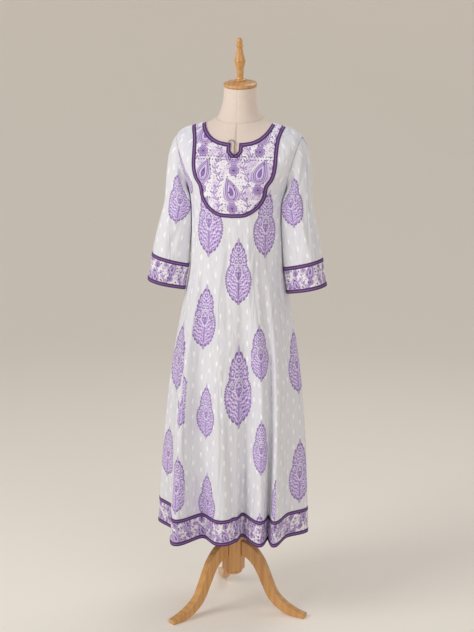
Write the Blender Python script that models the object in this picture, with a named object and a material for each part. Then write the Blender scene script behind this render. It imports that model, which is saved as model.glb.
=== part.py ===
"""An anarkali gown on a limbless dress form with a turned wooden finial and a tripod stand.

The front of the gown faces -Y, its left and right are as the viewer sees them, +Z is up and z = 0 is
the floor. Lengths in this script are in millimetres until a mesh is made, which turns them to metres.
Every piece of cloth is a thin wall on one surface: a set of rings from the neck to the hem, with the
skirt's folds added below the bust. The yoke, the front and their trims are cut from that one wall.
"""
import math

import bmesh
import bpy
from mathutils import Matrix, Vector
from mathutils.bvhtree import BVHTree

MM = 0.001

# Cloth and how far apart its pieces lie
CLOTH = 1.4
TRIM = 1.2
SEAM = 0.3
SEAT = 0.9            # between the form's shoulders and the cloth that rests on them

# Heights
HEM_Z = 272.0
HEM_SEAM_Z = 347.0    # where the printed band is sewn to the skirt
SHIN_Z = 410.0
TRIM_WIDTH = 11.5

# The plan position that lies under the middle of the whole outline
PLAN_ORIGIN = (0.0, 7.8)

COLUMN_WIDTH = 32.0   # about how wide the mesh's columns are at the hem
FOLD_GROWTH = 1.15    # the folds deepen a little faster than in step with the way down

# squareness 2 is an ellipse. fall 1 is a ring that lies in one slanted plane, 2 one that droops over
# the body in front and behind.
RING_COLUMNS = ("name", "side_x", "side_z", "front_y", "front_z", "back_y", "back_z",
                "squareness", "fall")

FORM_RINGS = [dict(zip(RING_COLUMNS, row)) for row in (
    ("neck_top", 49.0, 1636, 49.5, 1626, 49, 1647, 2.0, 1),
    ("neck_mid", 49.5, 1606, 50.5, 1596, 50, 1617, 2.0, 1),
    ("neck_low", 57, 1570, 54, 1558, 54, 1582, 2.0, 1),
    ("neck_base", 70, 1546, 61, 1530, 62, 1562, 2.0, 1),
    ("collar", 96, 1530.5, 72, 1500, 76, 1538, 2.1, 1.5),
    ("yoke", 132, 1521, 86, 1462, 90, 1500, 2.2, 2),
    ("shoulder", 164, 1511, 99, 1420, 99, 1460, 2.3, 2),
    ("tip", 184, 1494, 109, 1390, 104, 1425, 2.35, 2),
    ("plate_top", 187, 1468, 115, 1368, 106, 1398, 2.35, 2),
    ("plate_mid", 176, 1420, 120, 1348, 106, 1372, 2.3, 2),
    ("plate_low", 154, 1366, 124, 1330, 104, 1345, 2.25, 2),
    ("underarm", 138, 1325, 126, 1310, 100, 1315, 2.2, 2),
    ("bust", 134, 1292, 126, 1290, 95, 1290, 2.2, 2),
    ("under_bust", 120, 1228, 108, 1228, 86, 1228, 2.1, 2),
    ("waist", 106, 1140, 92, 1140, 80, 1140, 2.0, 2),
    ("high_hip", 124, 1055, 98, 1055, 96, 1055, 2.05, 2),
    ("hip", 144, 960, 104, 960, 112, 960, 2.1, 2),
    ("thigh", 142, 890, 100, 890, 108, 890, 2.1, 2),
    ("base", 134, 835, 92, 835, 100, 835, 2.1, 2),
)]

# The gown's own rings. The first ones lie over the form's rings of the same number.
FIRST_GOWN_RING = 6
GOWN_RINGS = [dict(zip(RING_COLUMNS, row)) for row in (
    ("shoulder", 166.5, 1513.5, 101, 1421, 101, 1461, 2.3, 2),
    ("tip", 187, 1496, 112, 1391, 107, 1426, 2.35, 2),
    ("plate_top", 190, 1469, 119, 1369, 110, 1399, 2.35, 2),
    ("plate_mid", 180, 1421, 125, 1349, 111, 1373, 2.3, 2),
    ("plate_low", 160, 1367, 129, 1331, 110, 1346, 2.25, 2),
    ("underarm", 148, 1326, 131, 1311, 108, 1316, 2.2, 2),
    ("bust", 144, 1293, 132.5, 1291, 107, 1291, 2.2, 2),
    ("yoke_foot", 141, 1245, 132, 1245, 107, 1245, 2.2, 2),
    ("waist", 141, 1165, 132, 1165, 109, 1165, 2.2, 2),
    ("high_hip", 146, 1090, 134, 1090, 112, 1090, 2.2, 2),
    ("hip", 159, 1010, 138, 1010, 119, 1010, 2.2, 2),
    ("thigh", 180, 890, 146, 890, 131, 890, 2.2, 2),
    ("above_knee", 198, 760, 153, 760, 142, 760, 2.2, 2),
    ("knee", 209, 630, 158, 630, 151, 630, 2.2, 2),
    ("calf", 216, 500, 161, 500, 158, 500, 2.2, 2),
    ("shin", 220, SHIN_Z, 163.5, SHIN_Z, 163.5, SHIN_Z, 2.2, 2),
    ("hem_seam", 221.5, HEM_SEAM_Z, 164.5, HEM_SEAM_Z, 165.5, HEM_SEAM_Z, 2.2, 2),
    ("hem", 223, HEM_Z, 165.5, HEM_Z, 168, HEM_Z, 2.2, 2),
)]

# Ring numbers of the mesh's rows. The form shares those between the neck and the bust.
SEATED_TO = 6.0       # the gown lies on the form down to this ring
FREE_FROM = 11.0      # and follows its own rings from here
HEM_SEAM_RING = FIRST_GOWN_RING + 16
HEM_RING = FIRST_GOWN_RING + 17
BODICE_ROWS = [3.6, 4.3, 5.0, 5.7, 6.4, 7.2, 8.2, 9.6, 11.3, 13.0]
SKIRT_ROWS = [14.3, 15.6, 17.0, 18.6, 20.4]
FORM_ROWS = [0.0, 1.0, 2.0, 3.0] + BODICE_ROWS + [14.0, 15.2, 16.5, 18.0]

# The skirt's folds, from the left side seam round the front to the right one and back behind.
# hang_deg is where on the bust a fold's line hangs from, 0 at the front and 90 at the right.
# x and y are where it reaches the hem, start_z is where it starts to show, and a roundness over 1
# makes its turn at the hem a wide one.
FOLD_COLUMNS = ("name", "hang_deg", "x", "y", "start_z", "roundness")
FRONT_FOLDS = [dict(zip(FOLD_COLUMNS, row)) for row in (
    ("left_seam_ridge", -90, -240, -22, 1120, 1.2),
    ("left_valley", -66, -180, -96, 1150, 0.8),
    ("ridge_a", -43, -148, -226, 1180, 1.5),
    ("valley_ab", -27, -74, -148, 1150, 0.8),
    ("ridge_b", -8, -14, -202, 1120, 1.5),
    ("ridge_b_lip", 5, 34, -160, 1080, 0.5),
    ("valley_bc", 14, 46, -114, 1080, 0.8),
    ("ridge_c", 30, 106, -188, 1130, 1.5),
    ("slit_cd", 39, 124, -122, 1150, 0.5),
    ("ridge_d", 48, 152, -180, 1150, 1.5),
    ("right_valley", 68, 180, -94, 1130, 0.8),
    ("right_seam_ridge", 90, 238, -30, 1120, 1.2),
)]
BACK_FOLDS = [dict(zip(FOLD_COLUMNS, row)) for row in (
    ("valley_ef", 104, 196, 36, 1130, 0.8),
    ("ridge_f", 120, 212, 116, 1150, 1.5),
    ("valley_fg", 134, 140, 120, 1120, 0.8),
    ("ridge_g", 150, 112, 202, 1160, 1.5),
    ("valley_gh", 166, 52, 142, 1110, 0.8),
    ("ridge_h", 181, -2, 210, 1140, 1.5),
    ("valley_hi", 195, -54, 140, 1100, 0.8),
    ("ridge_i", 211, -118, 200, 1150, 1.5),
    ("valley_ij", 226, -138, 120, 1130, 0.8),
    ("ridge_j", 241, -212, 112, 1150, 1.5),
    ("valley_jk", 256, -200, 40, 1130, 0.8),
)]

# Cut lines, right half, as seen from the front: x and z
YOKE_LINE = [(134, 1521), (124, 1488), (121, 1450), (120, 1408), (113, 1376), (97, 1350),
             (91, 1320), (73, 1291), (41, 1270), (0, 1266)]
FRONT_NECK = [(98.5, 1529), (93, 1516), (84, 1503), (70, 1490), (50, 1480), (28, 1475.5)]
NOTCH_HALF_WIDTH = 12.5
NOTCH_TOP_Z = 1474.5
NOTCH_FOOT_Z = 1443.0
NOTCH_FOOT = [(-NOTCH_HALF_WIDTH, 9), (-5, 0), (5, 0), (NOTCH_HALF_WIDTH, 9)]   # x and the rise there
BACK_NECK = [(98.5, 1529), (92, 1514), (74, 1500), (44, 1492), (0, 1489)]
CUT_TOP_Z = 1600.0
CUT_REACH_Y = 260.0
CUT_OVERLAP_Y = 40.0

# Armholes, seen from the side, and the sleeves set in them
ARMHOLE_Z = 1412.0
ARMHOLE_HALF_HEIGHT = 80.0
ARMHOLE_FRONT_Y = 62.0
ARMHOLE_BACK_Y = 57.0
ARMHOLE_SQUARENESS = 2.2
ARMHOLE_CUT_X = (112.0, 230.0)
UPPER_CUFF = 88.0     # along the sleeve from its elbow ring to the cuff's seam
CUFF = 78.0
SLEEVE_SIDES = 20
CAP_ROWS = 4
TUBE_COLUMNS = ("name", "x", "y", "z", "half_width", "half_depth", "tilt_deg", "fold")
SLEEVE_TUBE = [dict(zip(TUBE_COLUMNS, row)) for row in (
    ("biceps", 177, -16, 1287, 48, 54, 4, 0.0),
    ("elbow", 196, -20, 1204, 50, 48, 9, 2.0),
    ("cuff_seam", 210, -22, 1117, 53, 43, 15, 4.0),
    ("cuff_end", 223, -24, 1040, 54, 41, 13, 5.0),
)]
SLEEVE_CLEARANCE = 7.0    # sideways, where a sleeve lies along the body
SLEEVE_FOLDS = 3          # soft folds round the hanging sleeve, and the turn they start at
SLEEVE_FOLD_TURN = 0.6
CAP_SWELL = 0.5           # how far the cap goes straight out before it turns down
CAP_DROOP = 1.2           # and how much its top slopes down as it leaves the shoulder
CAP_LEAN = 0.12           # outwards, where the cap becomes the hanging sleeve

# The stand
LEG_DIRECTIONS_DEG = {"rear": 108.0, "left": 230.0, "right": 344.0}
LEG_THICKNESS = 26.0
LEG_COLUMNS = ("out", "z", "half_breadth")
LEG_LINE = [dict(zip(LEG_COLUMNS, row)) for row in (
    (32.3, 196, 24), (62, 184, 22), (92, 152, 19), (118, 100, 17), (142, 55, 16), (178, 26, 15),
    (218, 11, 11.5), (252, 6.8, 7),
)]
HUB_FLAT = 32.0       # from the pole's axis to the six flats of the hub
HUB_Z = (118.0, 236.0)
POLE_RADIUS = 12.5

CREAM = (0.80, 0.72, 0.62, 1.0)
WOOD = (0.62, 0.36, 0.15, 1.0)
WHITE = (0.86, 0.85, 0.84, 1.0)
PAISLEY = (0.66, 0.52, 0.80, 1.0)
PURPLE = (0.13, 0.05, 0.22, 1.0)


def material(name, colour, roughness):
    made = bpy.data.materials.new(name)
    made.use_nodes = True
    shader = made.node_tree.nodes["Principled BSDF"]
    shader.inputs["Base Color"].default_value = colour
    shader.inputs["Roughness"].default_value = roughness
    return made


def clear_scene():
    for thing in list(bpy.data.objects):
        bpy.data.objects.remove(thing)


def add_base():
    """The empty that every piece hangs from, which puts the origin under the middle of the outline."""
    base = bpy.data.objects.new("gown_on_form", None)
    base.location = (-PLAN_ORIGIN[0] * MM, -PLAN_ORIGIN[1] * MM, 0)
    bpy.context.scene.collection.objects.link(base)
    return base


def add_object(name, mesh, colour, roughness, smooth=True):
    """An object on the base, with its own material."""
    if smooth:
        mesh.shade_smooth()
    mesh.materials.append(material(name + "_finish", colour, roughness))
    thing = bpy.data.objects.new(name, mesh)
    thing.parent = bpy.data.objects["gown_on_form"]
    bpy.context.scene.collection.objects.link(thing)
    return thing


def add_faces(name, points, faces, colour, roughness, smooth=True):
    """An object from points in millimetres."""
    mesh = bpy.data.meshes.new(name)
    mesh.from_pydata([Vector(p) * MM for p in points], [], faces)
    return add_object(name, mesh, colour, roughness, smooth)


def add_shape(name, shape, colour, roughness, smooth=True):
    """An object from a bmesh in millimetres, with its faces turned outwards."""
    bmesh.ops.recalc_face_normals(shape, faces=shape.faces)
    bmesh.ops.scale(shape, vec=(MM, MM, MM), verts=shape.verts)
    mesh = bpy.data.meshes.new(name)
    shape.to_mesh(mesh)
    shape.free()
    return add_object(name, mesh, colour, roughness, smooth)


# ---------------------------------------------------------------- curves and rings

def between(low, high, share):
    return low + (high - low) * share


def eased(share):
    share = min(1.0, max(0.0, share))
    return share * share * (3 - 2 * share)


def catmull(before, first, second, after, share):
    """A smooth curve from first to second, with its directions taken from their neighbours."""
    return 0.5 * (2 * first + (second - before) * share
                  + (2 * before - 5 * first + 4 * second - after) * share ** 2
                  + (3 * first - before - 3 * second + after) * share ** 3)


def hermite(start, leave, end, arrive, share):
    """A curve from start to end with these directions where it leaves and arrives."""
    a, b = share ** 2, share ** 3
    return (start * (2 * b - 3 * a + 1) + leave * (b - 2 * a + share)
            + end * (3 * a - 2 * b) + arrive * (b - a))


def smooth_line(points, steps):
    """The open polyline through the points, made smooth with this many steps for each stretch."""
    points = [Vector(p) for p in points]
    ends = [2 * points[0] - points[1]] + points + [2 * points[-1] - points[-2]]
    made = []
    for i in range(len(points) - 1):
        for k in range(steps):
            made.append(catmull(*ends[i:i + 4], k / steps))
    return made + [points[-1]]


def row_between(table, number, columns):
    """The sizes between two rows of a table, as a dict. Past its ends the table runs on straight."""
    number = min(max(number, 0.0), len(table) - 1.0)
    low = min(int(number), len(table) - 2)
    made = {}
    for size in columns[1:]:
        values = [row[size] for row in table]
        values = [2 * values[0] - values[1]] + values + [2 * values[-1] - values[-2]]
        made[size] = catmull(*values[low:low + 4], number - low)
    return made


def ring_at(rings, number):
    return row_between(rings, number, RING_COLUMNS)


def ring_point(ring, angle):
    """The point of a ring in this direction, 0 at the front and growing to the right."""
    across, along = math.sin(angle), math.cos(angle)
    power = 2 / ring["squareness"]
    side = "front" if along >= 0 else "back"
    x = math.copysign(abs(across) ** power, across) * ring["side_x"]
    y = -math.copysign(abs(along) ** power, along) * ring[side + "_y"]
    z = between(ring["side_z"], ring[side + "_z"], abs(along) ** ring["fall"])
    return Vector((x, y, z))


def form_point(number, angle):
    return ring_point(ring_at(FORM_RINGS, number), angle)


def form_normal(number, angle):
    step, turn = 0.02, 0.01
    down = form_point(number + step, angle) - form_point(number - step, angle)
    round_it = form_point(number, angle + turn) - form_point(number, angle - turn)
    return down.cross(round_it).normalized()


def bare_gown_point(number, angle):
    """The gown's outer surface before its folds."""
    seated = form_point(number, angle) + form_normal(number, angle) * (SEAT + CLOTH)
    if number <= SEATED_TO:
        return seated
    free = ring_point(ring_at(GOWN_RINGS, number - FIRST_GOWN_RING), angle)
    return seated.lerp(free, eased((number - SEATED_TO) / (FREE_FROM - SEATED_TO)))


# ---------------------------------------------------------------- the gown's grid

def fold_columns():
    """For each column of the mesh: its angle at the bust, its place at the hem, where its fold starts."""
    folds = FRONT_FOLDS + BACK_FOLDS
    count = len(folds)
    columns = []
    for i, fold in enumerate(folds):
        before, after, beyond = folds[i - 1], folds[(i + 1) % count], folds[(i + 2) % count]
        places = [Vector((row["x"], row["y"])) for row in (before, fold, after, beyond)]
        leave = (places[2] - places[0]) / 2 * fold["roundness"]
        arrive = (places[3] - places[1]) / 2 * after["roundness"]
        steps = max(2, round((places[2] - places[1]).length / COLUMN_WIDTH))
        turn_by = (after["hang_deg"] - fold["hang_deg"]) % 360
        for k in range(steps):
            share = k / steps
            columns.append({
                "angle": math.radians(fold["hang_deg"] + turn_by * share),
                "hem": hermite(places[1], leave, places[2], arrive, share),
                "start_z": between(fold["start_z"], after["start_z"], share),
                "fold": fold["name"],
            })
    return columns


def gown_point(number, column):
    """The gown's outer surface, folds and all, on one column."""
    point = bare_gown_point(number, column["angle"])
    if point.z < column["start_z"]:
        bare_hem = bare_gown_point(HEM_RING, column["angle"])
        share = (column["start_z"] - point.z) / (column["start_z"] - HEM_Z)
        offset = (Vector((*column["hem"], HEM_Z)) - bare_hem) * share ** FOLD_GROWTH
        point = point + Vector((offset.x, offset.y, 0))
    return point


def normals_of(grid, closed):
    """Outward normals of a grid of points whose rows run down and whose columns run to the right."""
    made = []
    last_row, count = len(grid) - 1, len(grid[0])
    for r, row in enumerate(grid):
        line = []
        for c in range(count):
            right = row[(c + 1) % count] if closed else row[min(c + 1, count - 1)]
            left = row[c - 1] if closed else row[max(c - 1, 0)]
            down = grid[min(r + 1, last_row)][c] - grid[max(r - 1, 0)][c]
            line.append(down.cross(right - left).normalized())
        made.append(line)
    return made


def moved(grid, normals, distance):
    return [[p + n * distance for p, n in zip(*rows)] for rows in zip(grid, normals)]


def patch(top_left, foot_left, foot_right, top_right, way):
    """Two triangles that split a patch along the same diagonal on every layer of cloth."""
    return [(top_left, foot_left, foot_right)[::way], (top_left, foot_right, top_right)[::way]]


def wall(name, outer, inner, closed, colour, roughness=0.85):
    """A closed solid between two grids of points, with its rims."""
    rows, count = len(outer), len(outer[0])
    points = [p for row in outer for p in row] + [p for row in inner for p in row]
    skin = rows * count

    def at(r, c, layer):
        return layer * skin + r * count + c % count

    faces = []
    for r in range(rows - 1):
        for c in range(count if closed else count - 1):
            for layer, way in ((0, 1), (1, -1)):
                faces += patch(at(r, c, layer), at(r + 1, c, layer), at(r + 1, c + 1, layer),
                               at(r, c + 1, layer), way)
    for c in range(count if closed else count - 1):
        top, foot = 0, rows - 1
        faces.append((at(top, c, 0), at(top, c + 1, 0), at(top, c + 1, 1), at(top, c, 1)))
        faces.append((at(foot, c, 0), at(foot, c, 1), at(foot, c + 1, 1), at(foot, c + 1, 0)))
    if not closed:
        for r in range(rows - 1):
            left, right = 0, count - 1
            faces.append((at(r, left, 0), at(r, left, 1), at(r + 1, left, 1), at(r + 1, left, 0)))
            faces.append((at(r, right, 0), at(r + 1, right, 0), at(r + 1, right, 1), at(r, right, 1)))
    return add_faces(name, points, faces, colour, roughness)


def part_seams(rows, normals, columns):
    """The rows cut down to these columns, with the two edge columns drawn back from the seam."""
    cut = [[row[c % len(row)] for c in columns] for row in rows]
    cut_normals = [[row[c % len(row)] for c in columns] for row in normals]
    for row in cut:
        row[0] = row[0] + (row[1] - row[0]).normalized() * SEAM / 2
        row[-1] = row[-1] + (row[-2] - row[-1]).normalized() * SEAM / 2
    return cut, cut_normals


def band_rows(seam, above, end, below):
    """Ring numbers round a band: its seam, its end, and the edges of the tapes sewn on both.

    above and below are the lengths of cloth from the seam to the ring before it and to the end.
    """
    half = TRIM_WIDTH / 2
    return [seam - half / above, seam, seam + half / below, end - TRIM_WIDTH / below, end]


# ---------------------------------------------------------------- cutting

def offset_line(points, distance):
    """The polyline moved sideways, to its left, with mitred corners."""
    made = []
    for i, point in enumerate(points):
        into = (point - points[max(i - 1, 0)]) if i else (points[1] - point)
        out = (points[min(i + 1, len(points) - 1)] - point) if i < len(points) - 1 else into
        a, b = into.normalized(), out.normalized()
        left_a, left_b = Vector((-a.y, a.x)), Vector((-b.y, b.x))
        middle = (left_a + left_b).normalized()
        made.append(point + middle * distance / max(middle.dot(left_a), 0.35))
    return made


def mirrored(half):
    """The whole line, left to right, from its right half that ends at the middle."""
    half = [Vector(p) for p in half]
    left = [Vector((-p.x, p.y)) for p in half]
    if abs(half[-1].x) < 1e-6:
        left = left[:-1]
    return left + half[::-1]


def raised_ends(line):
    """The line with its two ends led straight up, past the shoulders."""
    return [Vector((line[0].x, CUT_TOP_Z))] + line + [Vector((line[-1].x, CUT_TOP_Z))]


def prism(outline, reach, place):
    """A bmesh with this outline. place turns a point of it and a depth into a position."""
    shape = bmesh.new()
    near, far = reach
    face = shape.faces.new([shape.verts.new(place(point, near)) for point in outline])
    made = bmesh.ops.extrude_face_region(shape, geom=[face])["geom"]
    depth = Vector(place(outline[0], far)) - Vector(place(outline[0], near))
    bmesh.ops.translate(shape, vec=depth, verts=[v for v in made if isinstance(v, bmesh.types.BMVert)])
    return shape


def cutter(shape):
    thing = add_shape("cutter", shape, WHITE, 0.5, smooth=False)
    thing.hide_render = True
    thing.display_type = "WIRE"
    return thing


def front_cutter(outline, reach):
    """A cutter with its outline as seen from the front, x and z."""
    return cutter(prism(outline, reach, lambda point, depth: (point[0], depth, point[1])))


def cut(thing, by, operation):
    """Applies a Boolean cut and leaves the plain mesh."""
    boolean = thing.modifiers.new("cut", "BOOLEAN")
    boolean.operation = operation
    boolean.solver = "EXACT"
    boolean.object = by
    graph = bpy.context.evaluated_depsgraph_get()
    made = bpy.data.meshes.new_from_object(thing.evaluated_get(graph))
    thing.modifiers.clear()
    thing.data = made


def armhole_point(turn, shrink=0.0):
    """y and z of the armhole's edge; turn 0 is its front, a quarter turn its top."""
    power = 2 / ARMHOLE_SQUARENESS
    ahead, up = math.cos(turn), math.sin(turn)
    depth = (ARMHOLE_FRONT_Y if ahead >= 0 else ARMHOLE_BACK_Y) - shrink
    y = -math.copysign(abs(ahead) ** power, ahead) * depth
    z = ARMHOLE_Z + math.copysign(abs(up) ** power, up) * (ARMHOLE_HALF_HEIGHT - shrink)
    return y, z


def armhole_cutter(side):
    """A cutter with its outline as seen from the side, y and z."""
    sides = 2 * SLEEVE_SIDES
    edge = [armhole_point(2 * math.pi * k / sides) for k in range(sides)]
    reach = [side * x for x in ARMHOLE_CUT_X]
    return cutter(prism(edge, reach, lambda point, depth: (depth, point[0], point[1])))


# ---------------------------------------------------------------- sleeves

def tube_point(tube, turn):
    """A point of the hanging sleeve; turn 0 is its front, a quarter turn its outer side."""
    ahead, out = math.cos(turn), math.sin(turn)
    ripple = tube["fold"] * math.sin(SLEEVE_FOLDS * turn + SLEEVE_FOLD_TURN)
    across = (tube["half_width"] + ripple) * out
    x = tube["x"] + across
    y = tube["y"] - (tube["half_depth"] + ripple) * ahead
    z = tube["z"] + across * math.tan(math.radians(tube["tilt_deg"]))
    return Vector((x, y, z))


def body_side(body, y, z):
    """How far out the gown's right side reaches at this place, or nothing past its front and back."""
    hit = body.ray_cast(Vector((400, y, z)), Vector((-1, 0, 0)))[0]
    return hit.x if hit else 0.0


def sleeve_grid(body):
    """Rows of the right sleeve from the armhole to the cuff's end, on the cloth's outer surface.

    Where the sleeve would reach into the body it lies along the body's side.
    """
    turns = [2 * math.pi * k / SLEEVE_SIDES for k in range(SLEEVE_SIDES)]
    armhole = []
    for turn in turns:
        y, z = armhole_point(turn, shrink=SEAM)
        armhole.append(Vector((body_side(body, y, z) + SEAM, y, z)))
    top = row_between(SLEEVE_TUBE, 0, TUBE_COLUMNS)
    rows = []
    for r in range(CAP_ROWS):
        share = r / CAP_ROWS
        row = []
        for turn, start in zip(turns, armhole):
            end = tube_point(top, turn)
            reach = (end - start).length
            out = Vector((1.0, 0, -CAP_DROOP * max(0.0, math.sin(turn)))) * reach * CAP_SWELL
            down = Vector((CAP_LEAN, 0, -1.0)) * reach
            row.append(hermite(start, out, end, down, share))
        rows.append(row)
    for number in [0.0, 0.6, 1.3] + band_rows(2.0, UPPER_CUFF, 3.0, CUFF):
        tube = row_between(SLEEVE_TUBE, number, TUBE_COLUMNS)
        rows.append([tube_point(tube, turn) for turn in turns])
    for row in rows[1:]:
        for point in row:
            point.x = max(point.x, body_side(body, point.y, point.z) + SLEEVE_CLEARANCE)
    return rows


def on_side(rows, side):
    """The right sleeve's rows, or their mirror image with the columns running the same way round."""
    if side > 0:
        return rows
    return [[Vector((-p.x, p.y, p.z)) for p in row[::-1]] for row in rows]


def drawn_back(rows, normals, upper, lower):
    """Rows upper to lower, with the first and last drawn back from the seams by half a gap."""
    cut_rows = [list(row) for row in rows[upper:lower + 1]]
    for edge, inside in ((0, 1), (-1, -2)):
        cut_rows[edge] = [p + (q - p).normalized() * SEAM / 2
                          for p, q in zip(cut_rows[edge], cut_rows[inside])]
    return cut_rows, normals[upper:lower + 1]


def make_band(name, panel, grid, normals, closed):
    """The printed band below the grid's seam row, with a tape over the seam and one at its edge."""
    seam = len(grid) - 4
    rows, line = drawn_back(grid, normals, seam, seam + 3)
    wall(f"{name}_band{panel}", rows, moved(rows, line, -CLOTH), closed, PAISLEY)
    for where, edges in (("upper", (seam - 1, seam + 1)), ("lower", (seam + 2, seam + 3))):
        points, line = [grid[r] for r in edges], [normals[r] for r in edges]
        wall(f"{name}_trim_{where}{panel}", moved(points, line, SEAM + TRIM),
             moved(points, line, SEAM), closed, PURPLE, 0.6)


def make_sleeve(name, side, body):
    grid = on_side(sleeve_grid(body), side)
    normals = normals_of(grid, closed=True)
    rows, line = drawn_back(grid, normals, 0, len(grid) - 4)
    wall(f"sleeve_{name}", rows, moved(rows, line, -CLOTH), True, WHITE)
    make_band("cuff", f"_{name}", grid, normals, closed=True)


# ---------------------------------------------------------------- gown

def notched_neck():
    """The front neckline from left to right, with its square notch."""
    whole = mirrored(FRONT_NECK + [(NOTCH_HALF_WIDTH, NOTCH_TOP_Z)])
    middle = len(whole) // 2
    foot = [Vector((x, NOTCH_FOOT_Z + rise)) for x, rise in NOTCH_FOOT]
    return whole[:middle] + foot + whole[middle:]


def tape(name, line, inner, outer, skins, reach):
    """A tape on the cloth between two lines offset from this one, outer being the lower one."""
    made = wall(name, *skins, False, PURPLE, 0.6)
    upper, lower = raised_ends(offset_line(line, inner)), raised_ends(offset_line(line, outer))
    cut(made, front_cutter(upper + lower[::-1], reach), "INTERSECT")


def make_panel(side, grid, normals, armholes):
    """The front or the back: its panel, band and tapes, and the yoke on the front."""
    rows, line = drawn_back(grid, normals, 0, len(grid) - 4)
    skins = (rows, moved(rows, line, -CLOTH))
    panel = wall(f"{side}_panel", *skins, False, WHITE)
    make_band("hem", f"_{side}", grid, normals, closed=False)

    top, top_line = grid[:len(BODICE_ROWS)], normals[:len(BODICE_ROWS)]
    raised = (moved(top, top_line, SEAM + TRIM), moved(top, top_line, SEAM))
    if side == "front":
        neck, reach = notched_neck(), (-CUT_REACH_Y, CUT_OVERLAP_Y)
        yoke_line = mirrored(YOKE_LINE)
        yoke = wall("yoke", *skins, False, PAISLEY)
        cut(yoke, front_cutter(raised_ends(yoke_line), reach), "INTERSECT")
        cut(yoke, front_cutter(raised_ends(neck), reach), "DIFFERENCE")
        cut(panel, front_cutter(raised_ends(offset_line(yoke_line, -SEAM)), reach), "DIFFERENCE")
        tape("yoke_trim", yoke_line, TRIM_WIDTH / 2, -TRIM_WIDTH / 2, raised, reach)
    else:
        neck, reach = mirrored(BACK_NECK), (-CUT_OVERLAP_Y, CUT_REACH_Y)
        cut(panel, front_cutter(raised_ends(neck), reach), "DIFFERENCE")
    tape(f"neck_trim_{side}", neck, 0, -TRIM_WIDTH, raised, reach)
    for armhole in armholes:
        cut(panel, armhole, "DIFFERENCE")


def surface_of(grid):
    """A closed grid's surface, to measure from."""
    count = len(grid[0])
    faces = []
    for r in range(len(grid) - 1):
        for c in range(count):
            d = (c + 1) % count
            faces += patch(r * count + c, (r + 1) * count + c, (r + 1) * count + d, r * count + d, 1)
    return BVHTree.FromPolygons([point for row in grid for point in row], faces)


def make_gown():
    columns = fold_columns()
    rows = BODICE_ROWS + SKIRT_ROWS
    rows += band_rows(HEM_SEAM_RING, SHIN_Z - HEM_SEAM_Z, HEM_RING, HEM_SEAM_Z - HEM_Z)
    grid = [[gown_point(number, column) for column in columns] for number in rows]
    normals = normals_of(grid, closed=True)
    right_seam = [column["fold"] for column in columns].index("right_seam_ridge")
    armholes = [armhole_cutter(side) for side in (-1, 1)]
    make_panel("front", *part_seams(grid, normals, range(right_seam + 1)), armholes)
    make_panel("back", *part_seams(grid, normals, range(right_seam, len(columns) + 1)), armholes)

    body = surface_of(grid[:len(BODICE_ROWS) + 3])
    for name, side in (("left", -1), ("right", 1)):
        make_sleeve(name, side, body)


# ---------------------------------------------------------------- form and stand

def make_form():
    """The torso and neck in one closed body, in facets that match those of the cloth on it."""
    angles = [column["angle"] for column in fold_columns()]
    count = len(angles)
    points = [form_point(number, angle) for number in FORM_ROWS for angle in angles]
    faces = [tuple(range(count)), tuple(range(len(points) - count, len(points)))[::-1]]
    for r in range(len(FORM_ROWS) - 1):
        for c in range(count):
            d = (c + 1) % count
            faces += patch(r * count + c, (r + 1) * count + c, (r + 1) * count + d, r * count + d, 1)
    add_faces("form_body", points, faces, CREAM, 0.9)


def turned(name, profile, place, slant=0.0, sides=16):
    """A piece turned on a lathe from rows of radius and height, closed on its axis at both ends."""
    shape = bmesh.new()
    line = [(0, profile[0][1])] + profile + [(0, profile[-1][1])]
    verts = [shape.verts.new((radius, 0, height)) for radius, height in line]
    edges = [shape.edges.new(pair) for pair in zip(verts, verts[1:])]
    bmesh.ops.spin(shape, geom=verts + edges, cent=(0, 0, 0), axis=(0, 0, 1), angle=2 * math.pi,
                   steps=sides, use_merge=True)
    bmesh.ops.remove_doubles(shape, verts=shape.verts, dist=0.01)
    made = add_shape(name, shape, WOOD, 0.35)
    made.data.set_sharp_from_angle(angle=math.radians(40))
    made.location = Vector(place) * MM
    made.rotation_euler.x = slant
    return made


def make_head():
    """The wooden cap on the neck and the finial screwed into it, square to the neck's slant."""
    top = FORM_RINGS[0]
    slant = math.atan2(top["back_z"] - top["front_z"], top["back_y"] + top["front_y"])
    axis = Matrix.Rotation(slant, 3, "X") @ Vector((0, 0, 1))
    cap_seat = Vector((0, 0, (top["back_z"] + top["front_z"]) / 2)) + axis * SEAM
    cap = [(46.5, 0), (49, 1.5), (50, 5), (49, 8.5), (44, 11), (32, 13.5), (18, 15)]
    turned("neck_cap", cap, cap_seat, slant, sides=20)
    finial = [(15, 0), (15, 3.5), (11.5, 7), (9.4, 14), (11, 25), (10, 31), (13.2, 44), (16.8, 58),
              (16, 65), (12, 76), (8.2, 97), (11, 101), (11, 105), (8.2, 109), (8.8, 117), (5, 125)]
    turned("finial", finial, cap_seat + axis * (cap[-1][1] + SEAM), slant, sides=14)


def hub_outline():
    """The plan of the hub, with a flat for each leg and another between each two of them."""
    legs = sorted(LEG_DIRECTIONS_DEG.values())
    flats = []
    for leg, following in zip(legs, legs[1:] + [legs[0] + 360]):
        flats += [leg, (leg + following) / 2]
    corners = []
    for flat, following in zip(flats, flats[1:] + [flats[0] + 360]):
        turn, half = math.radians(flat + following) / 2, math.radians(following - flat) / 2
        reach = HUB_FLAT / math.cos(half)
        corners.append((reach * math.cos(turn), reach * math.sin(turn)))
    return corners


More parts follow.
